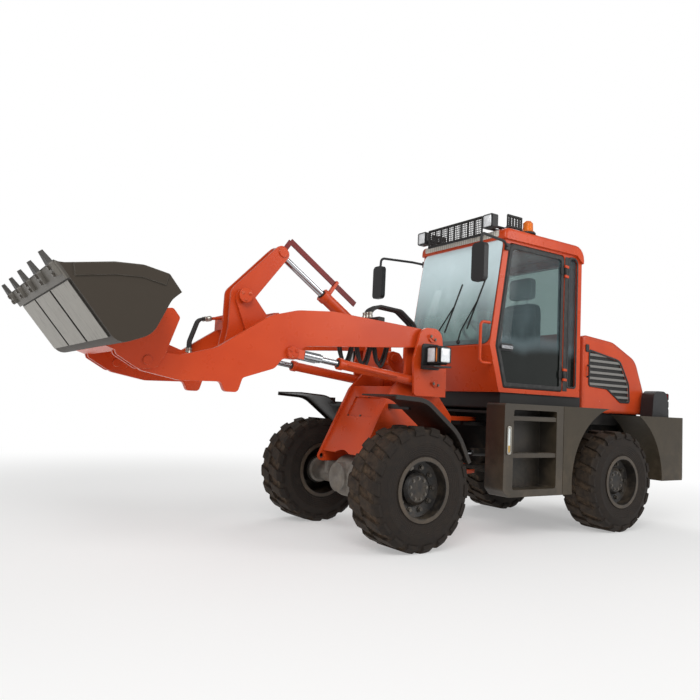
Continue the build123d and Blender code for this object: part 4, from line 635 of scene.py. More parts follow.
for k, y in enumerate((0.262, 0.302)):
    lathe(f"pipe_crimp_{k}", "boom", CRIMP, at(1.292, -y, 1.7058), pipe_way, ZINC, CRIMP_TURNS)
    lathe(f"drop_crimp_{k}", "boom", CRIMP, at(1.45, -y, 1.404), Z, ZINC, CRIMP_TURNS)


# Return hoses: two rubber hoses that hang in loops along the inner side of the left arm, held by
# zinc-plated clips on the arm.
def rods(name, body, lines, radius, coat, kind="POLY"):
    """Round bars along rows of points, joined in one piece."""
    finish, slot = coat
    curve = bpy.data.curves.new(name, "CURVE")
    curve.dimensions = "3D"
    curve.bevel_depth = radius
    curve.bevel_resolution = 2
    curve.use_fill_caps = True
    for line in lines:
        spline = curve.splines.new(kind)
        spline.points.add(len(line) - 1)
        for point, spot in zip(spline.points, line):
            point.co = (*spot, 1.0)
        if kind == "NURBS":
            spline.order_u = 3
            spline.use_endpoint_u = True
    piece = bpy.data.objects.new(name, curve)
    scene.collection.objects.link(piece)
    solid = frozen(piece)
    solid.data.materials.clear()
    solid.data.materials.append(finish)
    return settle(solid, body)


CLIPS = (-0.08, 0.08, 0.26, 0.43)
CLIP_Z, CLIP_HALF = 1.606, 0.012
for k, (y, sag) in enumerate(((0.272, 0.225), (0.240, 0.20))):
    line = [at(CLIPS[0], y, CLIP_Z)]
    for first, second in zip(CLIPS, CLIPS[1:]):
        third = (second - first) / 3
        line += [at(first + third, y, CLIP_Z - sag), at(second - third, y - 0.01, CLIP_Z - sag * 0.8)]
        line += [at(second - CLIP_HALF, y, CLIP_Z), at(second + CLIP_HALF, y, CLIP_Z)]
    rods(f"arm_hose_{k}", "boom", [line], 0.012, HOSE, "NURBS")
for k, x in enumerate(CLIPS):
    rows = box_rows(0.03, 0.044, 0.006)
    prism(f"hose_clip_{k}", "boom", rows, at(x, 0.3475, CLIP_Z), X, Z, 0.126, ZINC)

# Cylinders: chromed rods that slide in orange barrels, a black wiper ring at each gland, and the
# dark red bar that shows the bucket's level.
chrome_skin = Finish("chrome")
chrome_rough = 0.08 + chrome_skin.noise(40.0, 3.0) * 0.1
chrome_tone = chrome_skin.blend(chrome_skin.noise(18.0), colour(186, 187, 190), colour(160, 161, 164))
chrome = chrome_skin.set(Base_Color=chrome_tone, Metallic=1.0, Roughness=chrome_rough)
CHROME = (chrome, "chrome")
dress(chrome, "tilt_rod", "steer_rod_left", "steer_rod_right")
lift_way = Vector((1.357, 0, 0.162)).normalized()
lift_base = at(-0.45, 0, 1.28)
fork_skin = Finish("rod_and_fork")
fork_x, _, fork_z = fork_skin.xyz()
reach = (fork_x - lift_base.x) * lift_way.x + (fork_z - lift_base.z) * lift_way.z
fork = reach.fade(1.262, 1.268)
fork_rough = fork * 0.22 + 0.08 + fork_skin.noise(40.0, 3.0) * 0.1
fork_tone = fork_skin.blend(fork, colour(178, 180, 183), ORANGE)
across = (fork_z - lift_base.z) * lift_way.x - (fork_x - lift_base.x) * lift_way.z
crown = (1.0 - across * across * 760.0).fade(0.0, 1.0) ** 0.5 * reach.fade(1.1, 1.104) * (1.0 - fork)
fork_normal = fork_skin.bump(crown, 0.034, fork_skin.soft_edges(0.004))
rod_and_fork = fork_skin.set(
    Base_Color=fork_tone, Metallic=1.0 - fork, Roughness=fork_rough, Normal=fork_normal,
)
dress(rod_and_fork, "lift_rods")
dress(enamel("level_red", colour(118, 27, 24), colour(100, 20, 19), 0.3, 0.1), "level_bar")


def soft_black(name, tone, gloss):
    """Seal rubber: dull black with a faint bloom."""
    finish = Finish(name)
    bloom = finish.noise(25.0, 5.0)
    skin = finish.blend(bloom.fade(0.4, 0.8), tone, colour(58, 57, 55))
    return finish.set(Base_Color=skin, Roughness=gloss + bloom * 0.2, Normal=finish.bump(bloom, 0.0002))


seal = soft_black("seal_rubber", colour(20, 20, 20), 0.45)
SEAL = (seal, "black_plastic")
tilt_way = Vector((1.130, 0, 0.760)).normalized()
GLAND = [(0.0, 1.0), (0.003, 1.12), (0.010, 1.12), (0.014, 1.0)]


def wiper_ring(name, body, spot, way, radius):
    """Rubber ring round a rod, where it leaves its barrel."""
    lathe(name, body, [(along, r * radius) for along, r in GLAND], spot, way, (seal, "hose"))


for tag, s in (("1", 1), ("r1", -1)):
    lift_gland = lift_base + Y * 0.37 * s + lift_way * 0.9385
    wiper_ring("lift_wiper_" + tag, "lift_barrels", lift_gland, lift_way, 0.0275)
wiper_ring("tilt_wiper", "tilt_barrel", at(-0.28, 0, 1.5) + tilt_way * 0.8605, tilt_way, 0.0325)

# Bucket: brown-grey painted plate, its wear plates and edge scoured to grey steel by the ground.
# Each tooth is held on the edge by two bolts.
DIG = radians(50.6)
dig_u = Vector((cos(DIG), 0, sin(DIG)))
dig_n = Vector((-sin(DIG), 0, cos(DIG)))
heel = at(2.285, 0, 1.360)


def scoured(name, paint, steel, reach, depth, teeth_at):
    """Plate whose paint is ground away below a depth under the floor, with scratches along the cut."""
    finish = Finish(name)
    rounded = finish.soft_edges(0.004)
    x, y, z = finish.xyz()
    n = (x - heel.x) * dig_n.x + (z - heel.z) * dig_n.z
    stretched = finish.node("ShaderNodeMapping", None, {"Vector": finish.place, "Scale": (1.0, 14.0, 1.0)})
    scratch = finish.node("ShaderNodeTexNoise", None, {"Vector": stretched, "Scale": 6.0, "Detail": 8.0})
    below = 1.0 - n.fade(-depth - 0.002, -depth + 0.002)
    bare = (below * reach + finish.edges(rounded) * 0.5) * scratch.fade(0.22, 0.46)
    skin = finish.blend(bare, paint, finish.blend(scratch, steel, colour(112, 108, 100)))
    u = (x - heel.x) * dig_u.x + (z - heel.z) * dig_u.z
    # Painted shade: under the floor, the gaps between the wear plates and the strips along its sides are
    # darkened.
    groove = 1.0 - (y.absolute() - 0.2733).absolute().fade(0.018, 0.034)
    rim = y.absolute().fade(0.788, 0.802)
    gap_shade = (1.0 - (1.0 - groove) * (1.0 - rim)) * (1.0 - u.fade(0.43, 0.45)) * (1.0 - n.fade(-0.002, 0.002))
    # Past teeth_at along the floor the plate is made darker as well.
    dark = 1.0 - (1.0 - gap_shade) * (1.0 - u.fade(teeth_at, teeth_at + 0.01))
    skin, _ = dusty(finish, finish.blend(dark * 0.85, skin, colour(34, 32, 29)), 0.3)
    rough = 0.5 - bare * 0.12 + scratch * 0.12
    bumps = finish.bump(scratch, 0.0008, rounded)
    finish.set(Specular_IOR_Level=0.35)
    return finish.set(Base_Color=skin, Roughness=rough, Metallic=bare * 0.3, Normal=bumps)


dress(scoured("bucket_plate", colour(51, 43, 33), colour(176, 172, 163), 1.0, 0.006, 0.8), "bucket")
dress(scoured("edge_steel", colour(74, 70, 64), colour(132, 128, 121), 0.45, 0.012, 0.566), "bucket_edge")
TOOTH_HALF = 0.7835
tooth_spots = []
for i in range(5):
    for u in (0.508, 0.552):
        tooth_spots.append((heel + dig_u * u - dig_n * 0.0463 + Y * (i / 2 - 1) * TOOTH_HALF, -dig_n))
bolts("tooth_bolts", "bucket", tooth_spots, 0.026, 0.012)

# Side boxes, fenders and counterweight: plate and cast iron under a dull olive-brown paint. The
# left box has a fuel level gauge in a bright frame, and each step a grip strip.
dull_paint = enamel(
    "dull_paint", colour(58, 50, 37), colour(50, 43, 32), 0.36, 0.32, 0.00012, colour(108, 96, 80),
)
dress(dull_paint, "rear_fenders", "counterweight")
fender_black = enamel(
    "fender_black", colour(36, 32, 29), colour(29, 26, 24), 0.34, 0.35, 0.0002, colour(70, 62, 54),
)
dress(fender_black, "front_fenders")
recess_skin = Finish("box_paint")
# The step boxes' recessed faces, nearer the middle than the outer faces, are painted darker: painted shade.
recess_shade_mask = 1.0 - recess_skin.xyz()[1].absolute().fade(0.70, 0.852)
recess_drift = recess_skin.noise(1.7).fade(0.3, 0.7)
recess_paint = recess_skin.blend(recess_drift, colour(57, 49, 37), colour(49, 42, 32))
recess_shade = recess_skin.blend(recess_shade_mask * 0.85, recess_paint, colour(38, 35, 31))
recess_tone, recess_mask = dusty(recess_skin, recess_shade, 0.3)
recess_grain = recess_skin.bump(recess_skin.noise(260.0), 0.00012, recess_skin.soft_edges(0.004))
recess_rough = 0.38 + recess_mask * 0.4 + recess_skin.noise(11.0) * 0.12
dress(recess_skin.set(Base_Color=recess_tone, Roughness=recess_rough, Normal=recess_grain), "step_boxes")
gauge_spot = at(-0.918, 0.8605, 0.845)
gauge_rows, gauge_hole = box_rows(0.05, 0.235, 0.02), box_rows(0.028, 0.2, 0.012)
prism("gauge_frame", "rear_frame", gauge_rows, gauge_spot, -X, Z, 0.01, ZINC, 0.003, gauge_hole)
gauge_skin = Finish("gauge_tube")
gauge_level = gauge_skin.xyz()[2].fade(0.80, 0.805)
gauge_tone = gauge_skin.blend(gauge_level, colour(176, 140, 62), colour(206, 212, 210))
gauge_rough = 0.1 + gauge_skin.noise(30.0) * 0.1
gauge_glass = gauge_skin.set(Base_Color=gauge_tone, Roughness=gauge_rough, Coat_Weight=0.6)
tube_rows = box_rows(0.0278, 0.1998, 0.012)
prism("gauge_tube", "rear_frame", tube_rows, gauge_spot, -X, Z, 0.005, (gauge_glass, "glass"))
grip_skin = Finish("grip_strip")
grip_x, grip_y, _ = grip_skin.xyz()
grip_bumps = ((grip_x * 210.0).wave() * (grip_y * 210.0).wave()).fade(-0.2, 0.6)
grip_tone, _ = dusty(grip_skin, colour(44, 42, 40), 1.0)
grip_rough, grip_normal = 0.8 - grip_bumps * 0.2, grip_skin.bump(grip_bumps, 0.003)
GRIP = (grip_skin.set(Base_Color=grip_tone, Roughness=grip_rough, Normal=grip_normal), "black_plastic")
for tag, s in SIDES:
    for k, top in enumerate((0.736, 1.046)):
        rows, spot = box_rows(0.50, 0.05, 0.008), at(-1.246, 0.829 * s, top)
        prism(f"step_grip_{tag}_{k}", "rear_frame", rows, spot, X, Y, 0.003, GRIP, 0.001)

# Cab: a welded shell in the orange enamel over a black pan. The windscreen is one sheet bonded on a
# black border, and the rear quarter panes sit in rubber gaskets.
dress(orange, "cab_shell", "cab_roof", "grab_rails")


def pane(name, tint, painted_reflection, low, high, start, end, glow):
    """Safety glass: a tint to look through, and over it a painted reflection, ground below and sky above,
    with a painted glow.
    """
    finish = Finish(name)
    z = finish.xyz()[2]
    smear = finish.noise(5.0, 4.0).fade(0.4, 0.8)
    rise = (z + finish.noise(2.5, 2.0) * 0.12).fade(start, end)
    skin = finish.blend(rise, *painted_reflection)
    finish.set(Base_Color=skin, Roughness=smear * 0.06 + 0.03, Emission_Color=skin, Emission_Strength=glow)
    through = finish.node("ShaderNodeBsdfTransparent", None, {"Color": tint})
    surface = Wire(finish, finish.shader.outputs[0])
    glancing = finish.node("ShaderNodeLayerWeight", None, {"Blend": 0.5}, "Facing")
    factor = glancing ** 5 * 0.9 + 0.04 + rise * (high - low) + low + smear * 0.06
    mixed = finish.node("ShaderNodeMixShader", None, {0: factor, 1: through, 2: surface})
    finish.join(finish.tree.nodes["Material Output"].inputs["Surface"], mixed)
    return finish.material


# The black pan under the cab and the sill under the hood close see-through gaps; their black is partly the
# dark under-floor and partly painted shade.
pan_rows = [(-1.14, 1.10, 0.02), (-1.14, 1.252, 0.004), (-2.25, 1.252, 0.004), (-2.25, 1.10, 0.02)]
sill_rows = [(-2.25, 0.99, 0.02), (-2.25, 1.118, 0.004), (-3.3, 1.118, 0.004), (-3.3, 0.99, 0.02)]
prism("hood_sill", "rear_frame", sill_rows, at(0, 0.462, 0), X, Z, 0.924, BLACK_METAL, 0.003)
prism("cab_pan", "rear_frame", pan_rows, at(0, 0.535, 0), X, Z, 1.07, BLACK_METAL, 0.003)
# Painted reflection for the quarter and door panes: dark ground low, pale sky high.
mirrored = (colour(26, 30, 28), colour(134, 152, 158))
side_glass = pane("side_glass", colour(206, 214, 212), mirrored, 0.8, 0.1, 1.66, 1.86, 0.05)
dress(side_glass, "cab_glass")
door_glass = pane("door_glass", colour(222, 230, 228), mirrored, 0.86, 0.07, 1.66, 1.86, 0.05)
# The windscreen's pale tone is a painted reflection of the sky, covering more of the glass towards the top,
# with a painted glow.
screen_reflection = colour(206, 222, 226)
screen_glass = pane("screen_glass", colour(208, 222, 218), (screen_reflection, screen_reflection), 0.03, 0.7, 1.72, 2.6, 0.24)
brow, knee = Vector((-1.126, 2.650)), Vector((-0.972, 1.657))
lean = Vector((brow.x - knee.x, 0, brow.y - knee.y)).normalized()
screen_out = Vector((lean.z, 0, -lean.x))


def screen_at(z, y, off=0.0):
    """Point of the windscreen's outer plane, and off it along its normal."""
    t = (z - knee.y) / (brow.y - knee.y)
    return at(knee.x + (brow.x - knee.x) * t, y, z) + screen_out * off


SCREEN_LOW, SCREEN_HIGH = 1.672, 2.640
BORDER_T = 0.004
screen_mid = (SCREEN_LOW + SCREEN_HIGH) / 2
tall = (screen_at(SCREEN_HIGH, 0) - screen_at(SCREEN_LOW, 0)).length
border_rows, border_hole = box_rows(1.094, tall, 0.07), box_rows(1.012, tall - 0.09, 0.05)
border_spot = screen_at(screen_mid, 0, 0.0005)
prism("screen_border", "rear_frame", border_rows, border_spot, Y, lean, BORDER_T, SEAL, 0.001, border_hole)
sheet_rows, sheet_spot = box_rows(1.09, tall - 0.004, 0.068), screen_at(screen_mid, 0, 0.005)
prism("screen_sheet", "rear_frame", sheet_rows, sheet_spot, Y, lean, 0.005, (screen_glass, "glass"), 0.0015)


def side_plate(name, body, rows, y, depth, coat, rim, hole=None):
    """Plate from (x, z, corner radius) rows that stands out sideways, with its inner face at y."""
    return prism(name, body, rows, at(0, y, 0), X, Z, -depth if y > 0 else depth, coat, rim, hole)


QUARTER = [(-2.003, 1.330, 0.03), (-2.003, 2.610, 0.04), (-2.146, 2.610, 0.06), (-2.146, 1.330, 0.03)]
QUARTER_HOLE = [(-2.021, 1.348, 0.02), (-2.021, 2.592, 0.03), (-2.128, 2.592, 0.05), (-2.128, 1.348, 0.02)]
for tag, s in SIDES:
    side_plate("quarter_gasket_" + tag, "rear_frame", QUARTER, 0.56 * s, 0.008, SEAL, 0.003, QUARTER_HOLE)


# Wipers: two black steel arms on moulded hubs at the foot of the windscreen, with rubber blades that
# lie on the glass.
def moulded(name, tone):
    """Black moulded plastic with a fine leather grain."""
    finish = Finish(name)
    rounded = finish.soft_edges(0.005)
    grain = finish.node("ShaderNodeTexVoronoi", None, {"Vector": finish.place, "Scale": 420.0})
    skin, mask = dusty(finish, tone, 0.3)
    return finish.set(Base_Color=skin, Roughness=0.5 + mask * 0.3, Normal=finish.bump(grain, 0.0003, rounded))


black_plastic = moulded("black_plastic", colour(28, 28, 29))
PLASTIC = (black_plastic, "black_plastic")
dress(black_plastic, "headlamps", "mirrors", "steering_column")
WIPER_HUB = [(0, 0.022), (0.02, 0.022), (0.032, 0.014)]
WIPER_Z, BLADE_OFF = 1.70, 0.013
for k, (base_y, tip_y, tip_z) in enumerate(((0.16, 0.40, 2.28), (-0.16, 0.10, 2.26))):
    foot = screen_at(WIPER_Z, base_y, 0.02)
    bend = screen_at(1.80, base_y + 0.03, 0.03)
    hold = screen_at(tip_z - 0.22, tip_y - 0.06, 0.026)
    rods(f"wiper_arm_{k}", "rear_frame", [[foot, bend, hold]], 0.006, BLACK_METAL)
    blade = [screen_at(tip_z - 0.46, tip_y - 0.15, BLADE_OFF), screen_at(tip_z, tip_y, BLADE_OFF)]
    rods(f"wiper_blade_{k}", "rear_frame", [blade], 0.008, SEAL)
    hub = screen_at(WIPER_Z, base_y, -0.004)
    lathe(f"wiper_hub_{k}", "rear_frame", WIPER_HUB, hub, screen_out, PLASTIC)

# Doors: black-framed leaves, each glazed with one sheet in a rubber seal and hung on two hinges at
# its rear edge, with a chromed pull handle.
DOOR = [
    (-1.151, 1.294, 0.03), (-1.042, 1.657, 0.05), (-1.184, 2.606, 0.07),
    (-1.944, 2.606, 0.05), (-1.944, 1.294, 0.03),
]


def grown(rows, by):
    """Outline moved outward by a distance, or inward below zero, with its corner radii changed alike."""
    count = len(rows)
    points = [Vector(row[:2]) for row in rows]
    area = sum(points[i - 1].x * points[i].y - points[i].x * points[i - 1].y for i in range(count))
    side = by if area > 0 else -by
    moved = []
    for i in range(count):
        first = (points[i] - points[i - 1]).normalized()
        second = (points[(i + 1) % count] - points[i]).normalized()
        normal = Vector((first.y + second.y, -first.x - second.x)).normalized()
        stretch = normal.x * first.y - normal.y * first.x
        moved.append((*(points[i] + normal * (side / stretch)), max(rows[i][2] + by * 0.6, 0.008)))
    return moved


PILLAR = [(-1.951, 1.30, 0.01), (-1.951, 2.60, 0.01), (-2.014, 2.60, 0.01), (-2.014, 1.30, 0.01)]
KNUCKLE = [(0, 0.011), (0.002, 0.013), (0.068, 0.013), (0.07, 0.011)]
STRAP_TALL = 0.07
for tag, s in SIDES:
    body = "door_" + tag
    light = grown(DOOR, -0.034)
    leaf = side_plate("door_frame_" + tag, body, DOOR, 0.516 * s, 0.044, BLACK_METAL, 0.003, light)
    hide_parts(body)
    glazing = (door_glass, "glass")
    sheet = side_plate("door_sheet_" + tag, body, grown(DOOR, -0.03), 0.546 * s, 0.006, glazing, 0.001)
    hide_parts("door_glass_" + tag)
    rim_rows, rim_hole = grown(DOOR, -0.012), grown(DOOR, -0.046)
    side_plate("door_seal_" + tag, body, rim_rows, 0.5598 * s, 0.005, SEAL, 0.002, rim_hole)
    side_plate("pillar_cover_" + tag, "rear_frame", PILLAR, 0.5605 * s, 0.004, SEAL, 0.001)
    back_rows, grip_rows = box_rows(0.2, 0.07, 0.02), box_rows(0.145, 0.033, 0.012)
    spot = at(-1.160, 0.5515 * s, 1.654)
    prism("handle_plate_" + tag, body, back_rows, spot, -X * s, Z, 0.014, PLASTIC, 0.004)
    prism("door_handle_" + tag, body, grip_rows, spot, -X * s, Z, 0.043, CHROME, 0.006)
    for k, z in enumerate((1.42, 2.42)):
        lathe(f"door_knuckle_{tag}_{k}", body, KNUCKLE, at(-1.948, 0.574 * s, z), Z, BLACK_METAL, 20)
        top = z + STRAP_TALL
        strap = [(-1.944, z, 0.004), (-1.888, z, 0.012), (-1.888, top, 0.012), (-1.944, top, 0.004)]
        side_plate(f"door_strap_{tag}_{k}", body, strap, 0.5595 * s, 0.01, BLACK_METAL, 0.002)

# Roof: a pressed cap with rolled edges in the orange enamel, a pale ribbed fascia on its front edge,
# and a welded guard of black bar, filled with wire mesh above the windscreen and at its sides.
dress(black_plate, "roof_guard")


def mesh_lines(corner, wide_way, tall_way, wide, tall, pitch):
    """Wires of a mesh panel, both ways."""
    lines = []
    for i in range(1, int(wide / pitch)):
        start = corner + wide_way * (i * pitch)
        lines.append([start, start + tall_way * tall])
    for i in range(1, int(tall / pitch)):
        start = corner + tall_way * (i * pitch)
        lines.append([start, start + wide_way * wide])
    return lines


roof_mesh = bmesh.new()
roof_loops = []
for i in range(14):
    turn = pi / 12 * (i if i < 7 else i - 1) - pi / 2
    half = (0.558 + 0.03 * abs(sin(turn))) * (1 if i > 6 else -1)
    sink = 0.03 * (1 - cos(turn))
    front_rows = [(-1.0965 - sink, 2.634, 0.008), (-1.1 - sink, 2.738 - sink, 0.06)]
    rear_rows = [(-2.224 + sink, 2.736 - sink, 0.125), (-2.224 + sink, 2.56, 0.008), (-2.1, 2.634, 0.03)]
    loop = rounded_rows(front_rows + rear_rows)
    roof_loops.append([roof_mesh.verts.new(at(point.x, half, point.y)) for point in loop])
for first, second in zip(roof_loops, roof_loops[1:]):
    for face in band(roof_mesh, first, second):
        face.smooth = True
for loop in (roof_loops[0], roof_loops[-1]):
    roof_mesh.faces.new(loop)
bmesh.ops.recalc_face_normals(roof_mesh, faces=roof_mesh.faces)
roof_cap = made("roof_cap", roof_mesh, "rear_frame", ORANGE_COAT)
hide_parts("cab_roof")
fascia_skin = Finish("fascia")
# The rib troughs are painted darker than the crests: painted shade.
fascia_ribs = (fascia_skin.xyz()[1] * (2 * pi / 0.03)).wave().fade(-0.4, 0.4)
fascia_tone = fascia_skin.blend(fascia_ribs, colour(196, 190, 178), colour(222, 218, 208))
fascia_rough, fascia_normal = 0.5 + fascia_skin.noise(20.0) * 0.1, fascia_skin.bump(fascia_ribs, 0.003)
fascia = fascia_skin.set(Base_Color=fascia_tone, Roughness=fascia_rough, Normal=fascia_normal)
roof_low, roof_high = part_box("cab_roof")
fascia_spot = Vector((roof_high.x, 0, roof_low.z + 0.036))
fascia_rows = box_rows(1.02, 0.056, 0.012)
prism("roof_fascia", "rear_frame", fascia_rows, fascia_spot, Y, Z, 0.006, (fascia, "black_plastic"))
wires = mesh_lines(at(-1.016, -0.37, 2.694), Y, Z, 0.74, 0.148, 0.021)
rods("visor_mesh", "rear_frame", wires, 0.0034, BLACK_METAL)
for tag, s in SIDES:
    wires = mesh_lines(at(-1.186, 0.524 * s, 2.774), -X, Z, 0.18, 0.088, 0.02)
    rods("side_mesh_" + tag, "rear_frame", wires, 0.003, BLACK_METAL)

# Lamps: black shells with a silvered reflector behind a clear fluted lens. The tail lamps have red,
# amber and white lenses, and each headlamp an amber turn lens and a clear one round its corner.
dress(black_plastic, "lamps")


def lens_finish(name, tint, pitch, way, silver=0.0):
    """Fluted plastic lens over silvering; the flutes repeat along way, 1 for Y or 2 for Z."""
    finish = Finish(name)
    flute = (finish.xyz()[way] * (2 * pi / pitch)).wave()
    shade = tuple(c * 0.8 for c in tint[:3]) + (1.0,)
    tone = finish.blend(finish.noise(40.0).fade(0.3, 0.8), tint, shade)
    rough, ridged = 0.12 + flute.absolute() * 0.06, finish.bump(flute, 0.0012)
    return finish.set(Base_Color=tone, Roughness=rough, Metallic=silver, Coat_Weight=0.8, Normal=ridged)


clear_lens = lens_finish("clear_lens", colour(240, 243, 245), 0.012, 1, 0.1)
amber_lens = lens_finish("amber_lens", colour(226, 120, 26), 0.008, 2)
red_lens = lens_finish("red_lens", colour(168, 20, 18), 0.008, 2)


def lens(name, body, wide, tall, spot, right_way, finish):
    """Domed lens in a plastic bezel, facing right_way x Z."""
    rows, hole = box_rows(wide + 0.014, tall + 0.014, 0.016), box_rows(wide, tall, 0.012)
    prism(name + "_bezel", body, rows, spot, right_way, Z, 0.009, PLASTIC, 0.003, hole)
    w = right_way.cross(Z)
    mesh = bmesh.new()
    count = 10
    grid = []
    for i in range(count + 1):
        row = []
        for j in range(count + 1):
            a, b = 2 * i / count - 1, 2 * j / count - 1
            dome = 0.004 + 0.008 * (1 - a * a) * (1 - b * b)
            row.append(mesh.verts.new(spot + right_way * a * wide / 2 + Z * b * tall / 2 + w * dome))
        grid.append(row)
    for i in range(count):
        for j in range(count):
            mesh.faces.new([grid[i][j], grid[i + 1][j], grid[i + 1][j + 1], grid[i][j + 1]]).smooth = True
    corners = ((-1, -1), (1, -1), (1, 1), (-1, 1))
    back = [mesh.verts.new(spot + right_way * a * wide / 2 + Z * b * tall / 2) for a, b in corners]
    edges = [
        [grid[i][0] for i in range(count + 1)], [grid[count][j] for j in range(count + 1)],
        [grid[i][count] for i in range(count, -1, -1)], [grid[0][j] for j in range(count, -1, -1)],
    ]
    for k, edge in enumerate(edges):
        mesh.faces.new([back[(k + 1) % 4], back[k]] + edge)
    mesh.faces.new(back[::-1])
    bmesh.ops.recalc_face_normals(mesh, faces=mesh.faces)
    return made(name, mesh, body, (finish, "lamp"))


LAMP_TALL, LAMP_Z = 0.118, 1.514
TAIL = ((1.155, clear_lens), (1.235, amber_lens), (1.315, red_lens))
for tag, s in SIDES:
    head, turning = at(-0.2958, 0.574 * s, LAMP_Z), at(-0.2958, 0.640 * s, LAMP_Z)
    lens("head_lens_" + tag, "front_frame", 0.096, LAMP_TALL, head, Y, clear_lens)
    lens("turn_lens_" + tag, "front_frame", 0.022, LAMP_TALL, turning, Y, amber_lens)
    corner = at(-0.362, 0.6655 * s, LAMP_Z)
    lens("corner_lens_" + tag, "front_frame", 0.1, LAMP_TALL, corner, -X * s, clear_lens)
    lens("work_lens_" + tag, "rear_frame", 0.102, 0.108, at(-0.9958, 0.461 * s, 2.792), Y, clear_lens)
    for k, (z, finish) in enumerate(TAIL):
        lens(f"tail_lens_{tag}_{k}", "rear_frame", 0.116, 0.062, at(-3.5372, 0.614 * s, z), -Y, finish)

# Beacon, mirrors and lifting eye: a ribbed amber cap on a black foot, silvered glass let into black
# heads, and a bent zinc-plated bar on the roof.
amber_skin = Finish("amber_cap")
ridges = (amber_skin.xyz()[2] * (2 * pi / 0.012)).wave()
amber_tone = amber_skin.blend(ridges.absolute(), colour(250, 140, 18), colour(226, 104, 10))
amber_normal = amber_skin.bump(ridges, 0.0008)
amber = amber_skin.set(Base_Color=amber_tone, Roughness=0.18, Transmission_Weight=0.25, Normal=amber_normal)
dress(amber, "beacon")
low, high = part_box("beacon")
foot = Vector(((low.x + high.x) / 2, (low.y + high.y) / 2, low.z))
wide = (high.x - low.x) / 2
foot_rows = [(0, wide + 0.012), (0.014, wide + 0.012), (0.022, wide + 0.004)]
lathe("beacon_foot", "rear_frame", foot_rows, foot, Z, PLASTIC)
mirror_skin = Finish("mirror_glass")
mirror_rough = mirror_skin.noise(14.0, 5.0).fade(0.5, 0.9) * 0.08 + 0.02
mirror_glass = mirror_skin.set(Base_Color=colour(214, 218, 220), Metallic=1.0, Roughness=mirror_rough)
MIRROR = (mirror_glass, "chrome")
for tag, s in SIDES:
    rows, spot = box_rows(0.124, 0.3, 0.03), at(-0.6902, 0.715 * s, 2.325)
    prism("mirror_glass_" + tag, "rear_frame", rows, spot, -Y, Z, 0.003, MIRROR, 0.001)
arc = [pi * k / 8 for k in range(9)]
eye = [at(-1.666 + 0.03 * cos(a), 0.45, 2.735 + 0.042 * sin(a)) for a in arc]
rods("lifting_eye", "rear_frame", [eye], 0.007, ZINC)


# Seat: a sprung driver's seat of black vinyl, with sewn channels across a crowned cushion and
# backrest, a grey headrest on two steel posts, and a moulded plastic pedestal.
def vinyl(name, dark, pale):
    """Coated seat cloth with a leather grain."""
    finish = Finish(name)
    grain = finish.node("ShaderNodeTexVoronoi", None, {"Vector": finish.place, "Scale": 240.0})
    tone = finish.blend(finish.noise(8.0), dark, pale)
    rough = 0.42 + finish.noise(30.0) * 0.16
    return finish.set(Base_Color=tone, Roughness=rough, Normal=finish.bump(grain, 0.0005))


seat_vinyl = vinyl("seat_vinyl", colour(34, 34, 36), colour(48, 47, 48))


def pad(name, low, high, face, seams, cover=seat_vinyl):
    """Crowned cushion between two corners; face is the axis it is sat against, seams run across it."""
    mesh = bmesh.new()
    bmesh.ops.create_cube(mesh, size=2.0)
    bmesh.ops.subdivide_edges(mesh, edges=mesh.edges, cuts=23, use_grid_fill=True)
    centre, half = (low + high) / 2, (high - low) / 2
    across = 0 if face == 2 else 2
    for vert in mesh.verts:
        n = vert.co.copy()
        n *= 1.0 / sum(abs(c) ** 7 for c in n) ** (1 / 7)
        others = [n[i] for i in range(3) if i != face]
        crown = (1 - others[0] ** 2) * (1 - others[1] ** 2)
        depth = n[face] * (0.84 + 0.16 * crown)
        groove = sum(exp(-((n[across] - seam) / 0.03) ** 2) for seam in seams)
        n[face] = depth - (0.09 * groove * (1 if depth > 0 else 0))
        for i in range(3):
            if i != face:
                n[i] *= 0.985 - 0.02 * (1 - abs(n[i])) * (1 - crown)
        vert.co = centre + Vector([n[i] * half[i] for i in range(3)])
    for f in mesh.faces:
        f.smooth = True
    piece = made(name, mesh, "rear_frame", (cover, "seat"))
    return piece


cushion = pad("seat_cushion", at(-2.005, -0.248, 1.552), at(-1.522, 0.248, 1.674), 2, (-0.45, 0.0, 0.45))
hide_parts("seat")
pad("seat_back", at(-2.045, -0.228, 1.63), at(-1.915, 0.228, 2.19), 0, (-0.5, -0.1, 0.3, 0.66))
grey_vinyl = vinyl("headrest_vinyl", colour(128, 128, 130), colour(148, 148, 150))
pad("seat_headrest", at(-2.04, -0.15, 2.235), at(-1.93, 0.15, 2.455), 0, (), grey_vinyl)
posts = [[at(-1.985, y, 2.10), at(-1.985, y, 2.30)] for y in (-0.07, 0.07)]
rods("headrest_posts", "rear_frame", posts, 0.007, CHROME)
seat_floor, pedestal_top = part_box("seat")[0].z, 1.556
pedestal = [
    (-1.96, seat_floor, 0.01), (-1.60, seat_floor, 0.01),
    (-1.56, pedestal_top, 0.03), (-1.99, pedestal_top, 0.03),
]
prism("seat_pedestal", "rear_frame", pedestal, at(0, 0.20, 0), X, Z, 0.40, PLASTIC, 0.012)

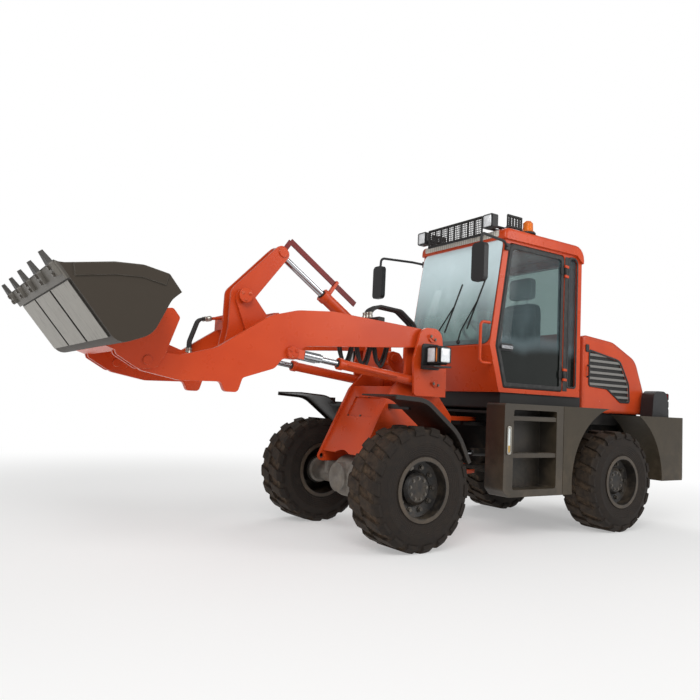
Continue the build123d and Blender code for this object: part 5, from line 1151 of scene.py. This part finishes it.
# Hood: one orange shell hinged at its rear edge. Each side grille has a black mesh behind its
# slats and a black surround; a pull handle and a latch sit ahead of it.
grille_skin = Finish("grille_mesh")
gx, _, gz = grille_skin.xyz()
holes = ((gx * 420.0).wave() * (gz * 420.0).wave()).fade(-0.1, 0.25)
grille_tone = grille_skin.blend(holes, colour(10, 10, 10), colour(40, 39, 38))
grille_rough, grille_normal = 0.5 + holes * 0.1, grille_skin.bump(holes, 0.002)
grille_mesh = grille_skin.set(Base_Color=grille_tone, Roughness=grille_rough, Normal=grille_normal)
GRILLE_MESH = (grille_mesh, "black_metal")
GRILLE = [
    (-2.410, 1.385, 0.02), (-2.410, 1.725, 0.02), (-2.900, 1.650, 0.12), (-3.050, 1.420, 0.12),
    (-3.066, 1.240, 0.02), (-2.920, 1.240, 0.04), (-2.690, 1.370, 0.06),
]
hood_skin = Finish("hood_enamel")
hood_x, hood_y, hood_z = hood_skin.xyz()


def beyond(first, second):
    """1 on the grille's side of the line through two of its outline's corners."""
    start = at(first[0], 0, first[1])
    run = Vector((second[0] - first[0], 0, second[1] - first[1])).normalized()
    return ((hood_z - start.z) * run.x - (hood_x - start.x) * run.z).fade(-0.001, 0.001)


slats = hood_y.absolute().fade(0.49, 0.5)
for i in range(5):
    slats = slats * beyond(GRILLE[i], GRILLE[i + 1])
dip = (1.0 - beyond(GRILLE[5], GRILLE[6])) * (1.0 - beyond(GRILLE[6], GRILLE[0]))
slats = slats * (1.0 - dip)
shoulder = hood_skin.node("ShaderNodeBevel", {"samples": 8}, {"Radius": 0.05})
mix_inputs = {"Factor": slats, 4: shoulder, 5: hood_skin.soft_edges(0.004)}
hood_rounded = hood_skin.node("ShaderNodeMix", {"data_type": "VECTOR"}, mix_inputs, 1)
hood_drift = hood_skin.noise(1.7).fade(0.3, 0.7)
hood_paint, hood_dust = dusty(hood_skin, hood_skin.blend(hood_drift, ORANGE, ORANGE_SHADE), 0.12)
hood_tone = hood_skin.blend(slats, hood_paint, colour(120, 118, 114))
hood_rough = 0.2 + hood_dust * 0.4 + slats * 0.1 + hood_skin.noise(11.0) * 0.1
hood_normal = hood_skin.bump(hood_skin.noise(260.0), 0.00006, hood_rounded)
dress(hood_skin.set(Base_Color=hood_tone, Roughness=hood_rough, Normal=hood_normal), "hood")
PULL = [(-2.372, 0.519, 1.46), (-2.374, 0.545, 1.475), (-2.378, 0.545, 1.565), (-2.38, 0.519, 1.58)]
for tag, s in SIDES:
    side_plate("grille_mesh_" + tag, "hood", grown(GRILLE, 0.03), 0.5025 * s, 0.003, GRILLE_MESH, 0.0008)
    ring_rows = grown(GRILLE, 0.016)
    side_plate("grille_ring_" + tag, "hood", ring_rows, 0.5195 * s, 0.008, PLASTIC, 0.003, GRILLE)
    rods("hood_handle_" + tag, "hood", [[at(x, y * s, z) for x, y, z in PULL]], 0.008, PLASTIC)
    rows, spot = box_rows(0.05, 0.075, 0.015), at(-2.365, 0.5195 * s, 1.75)
    prism("hood_latch_" + tag, "hood", rows, spot, -X * s, Z, 0.012, PLASTIC, 0.004)
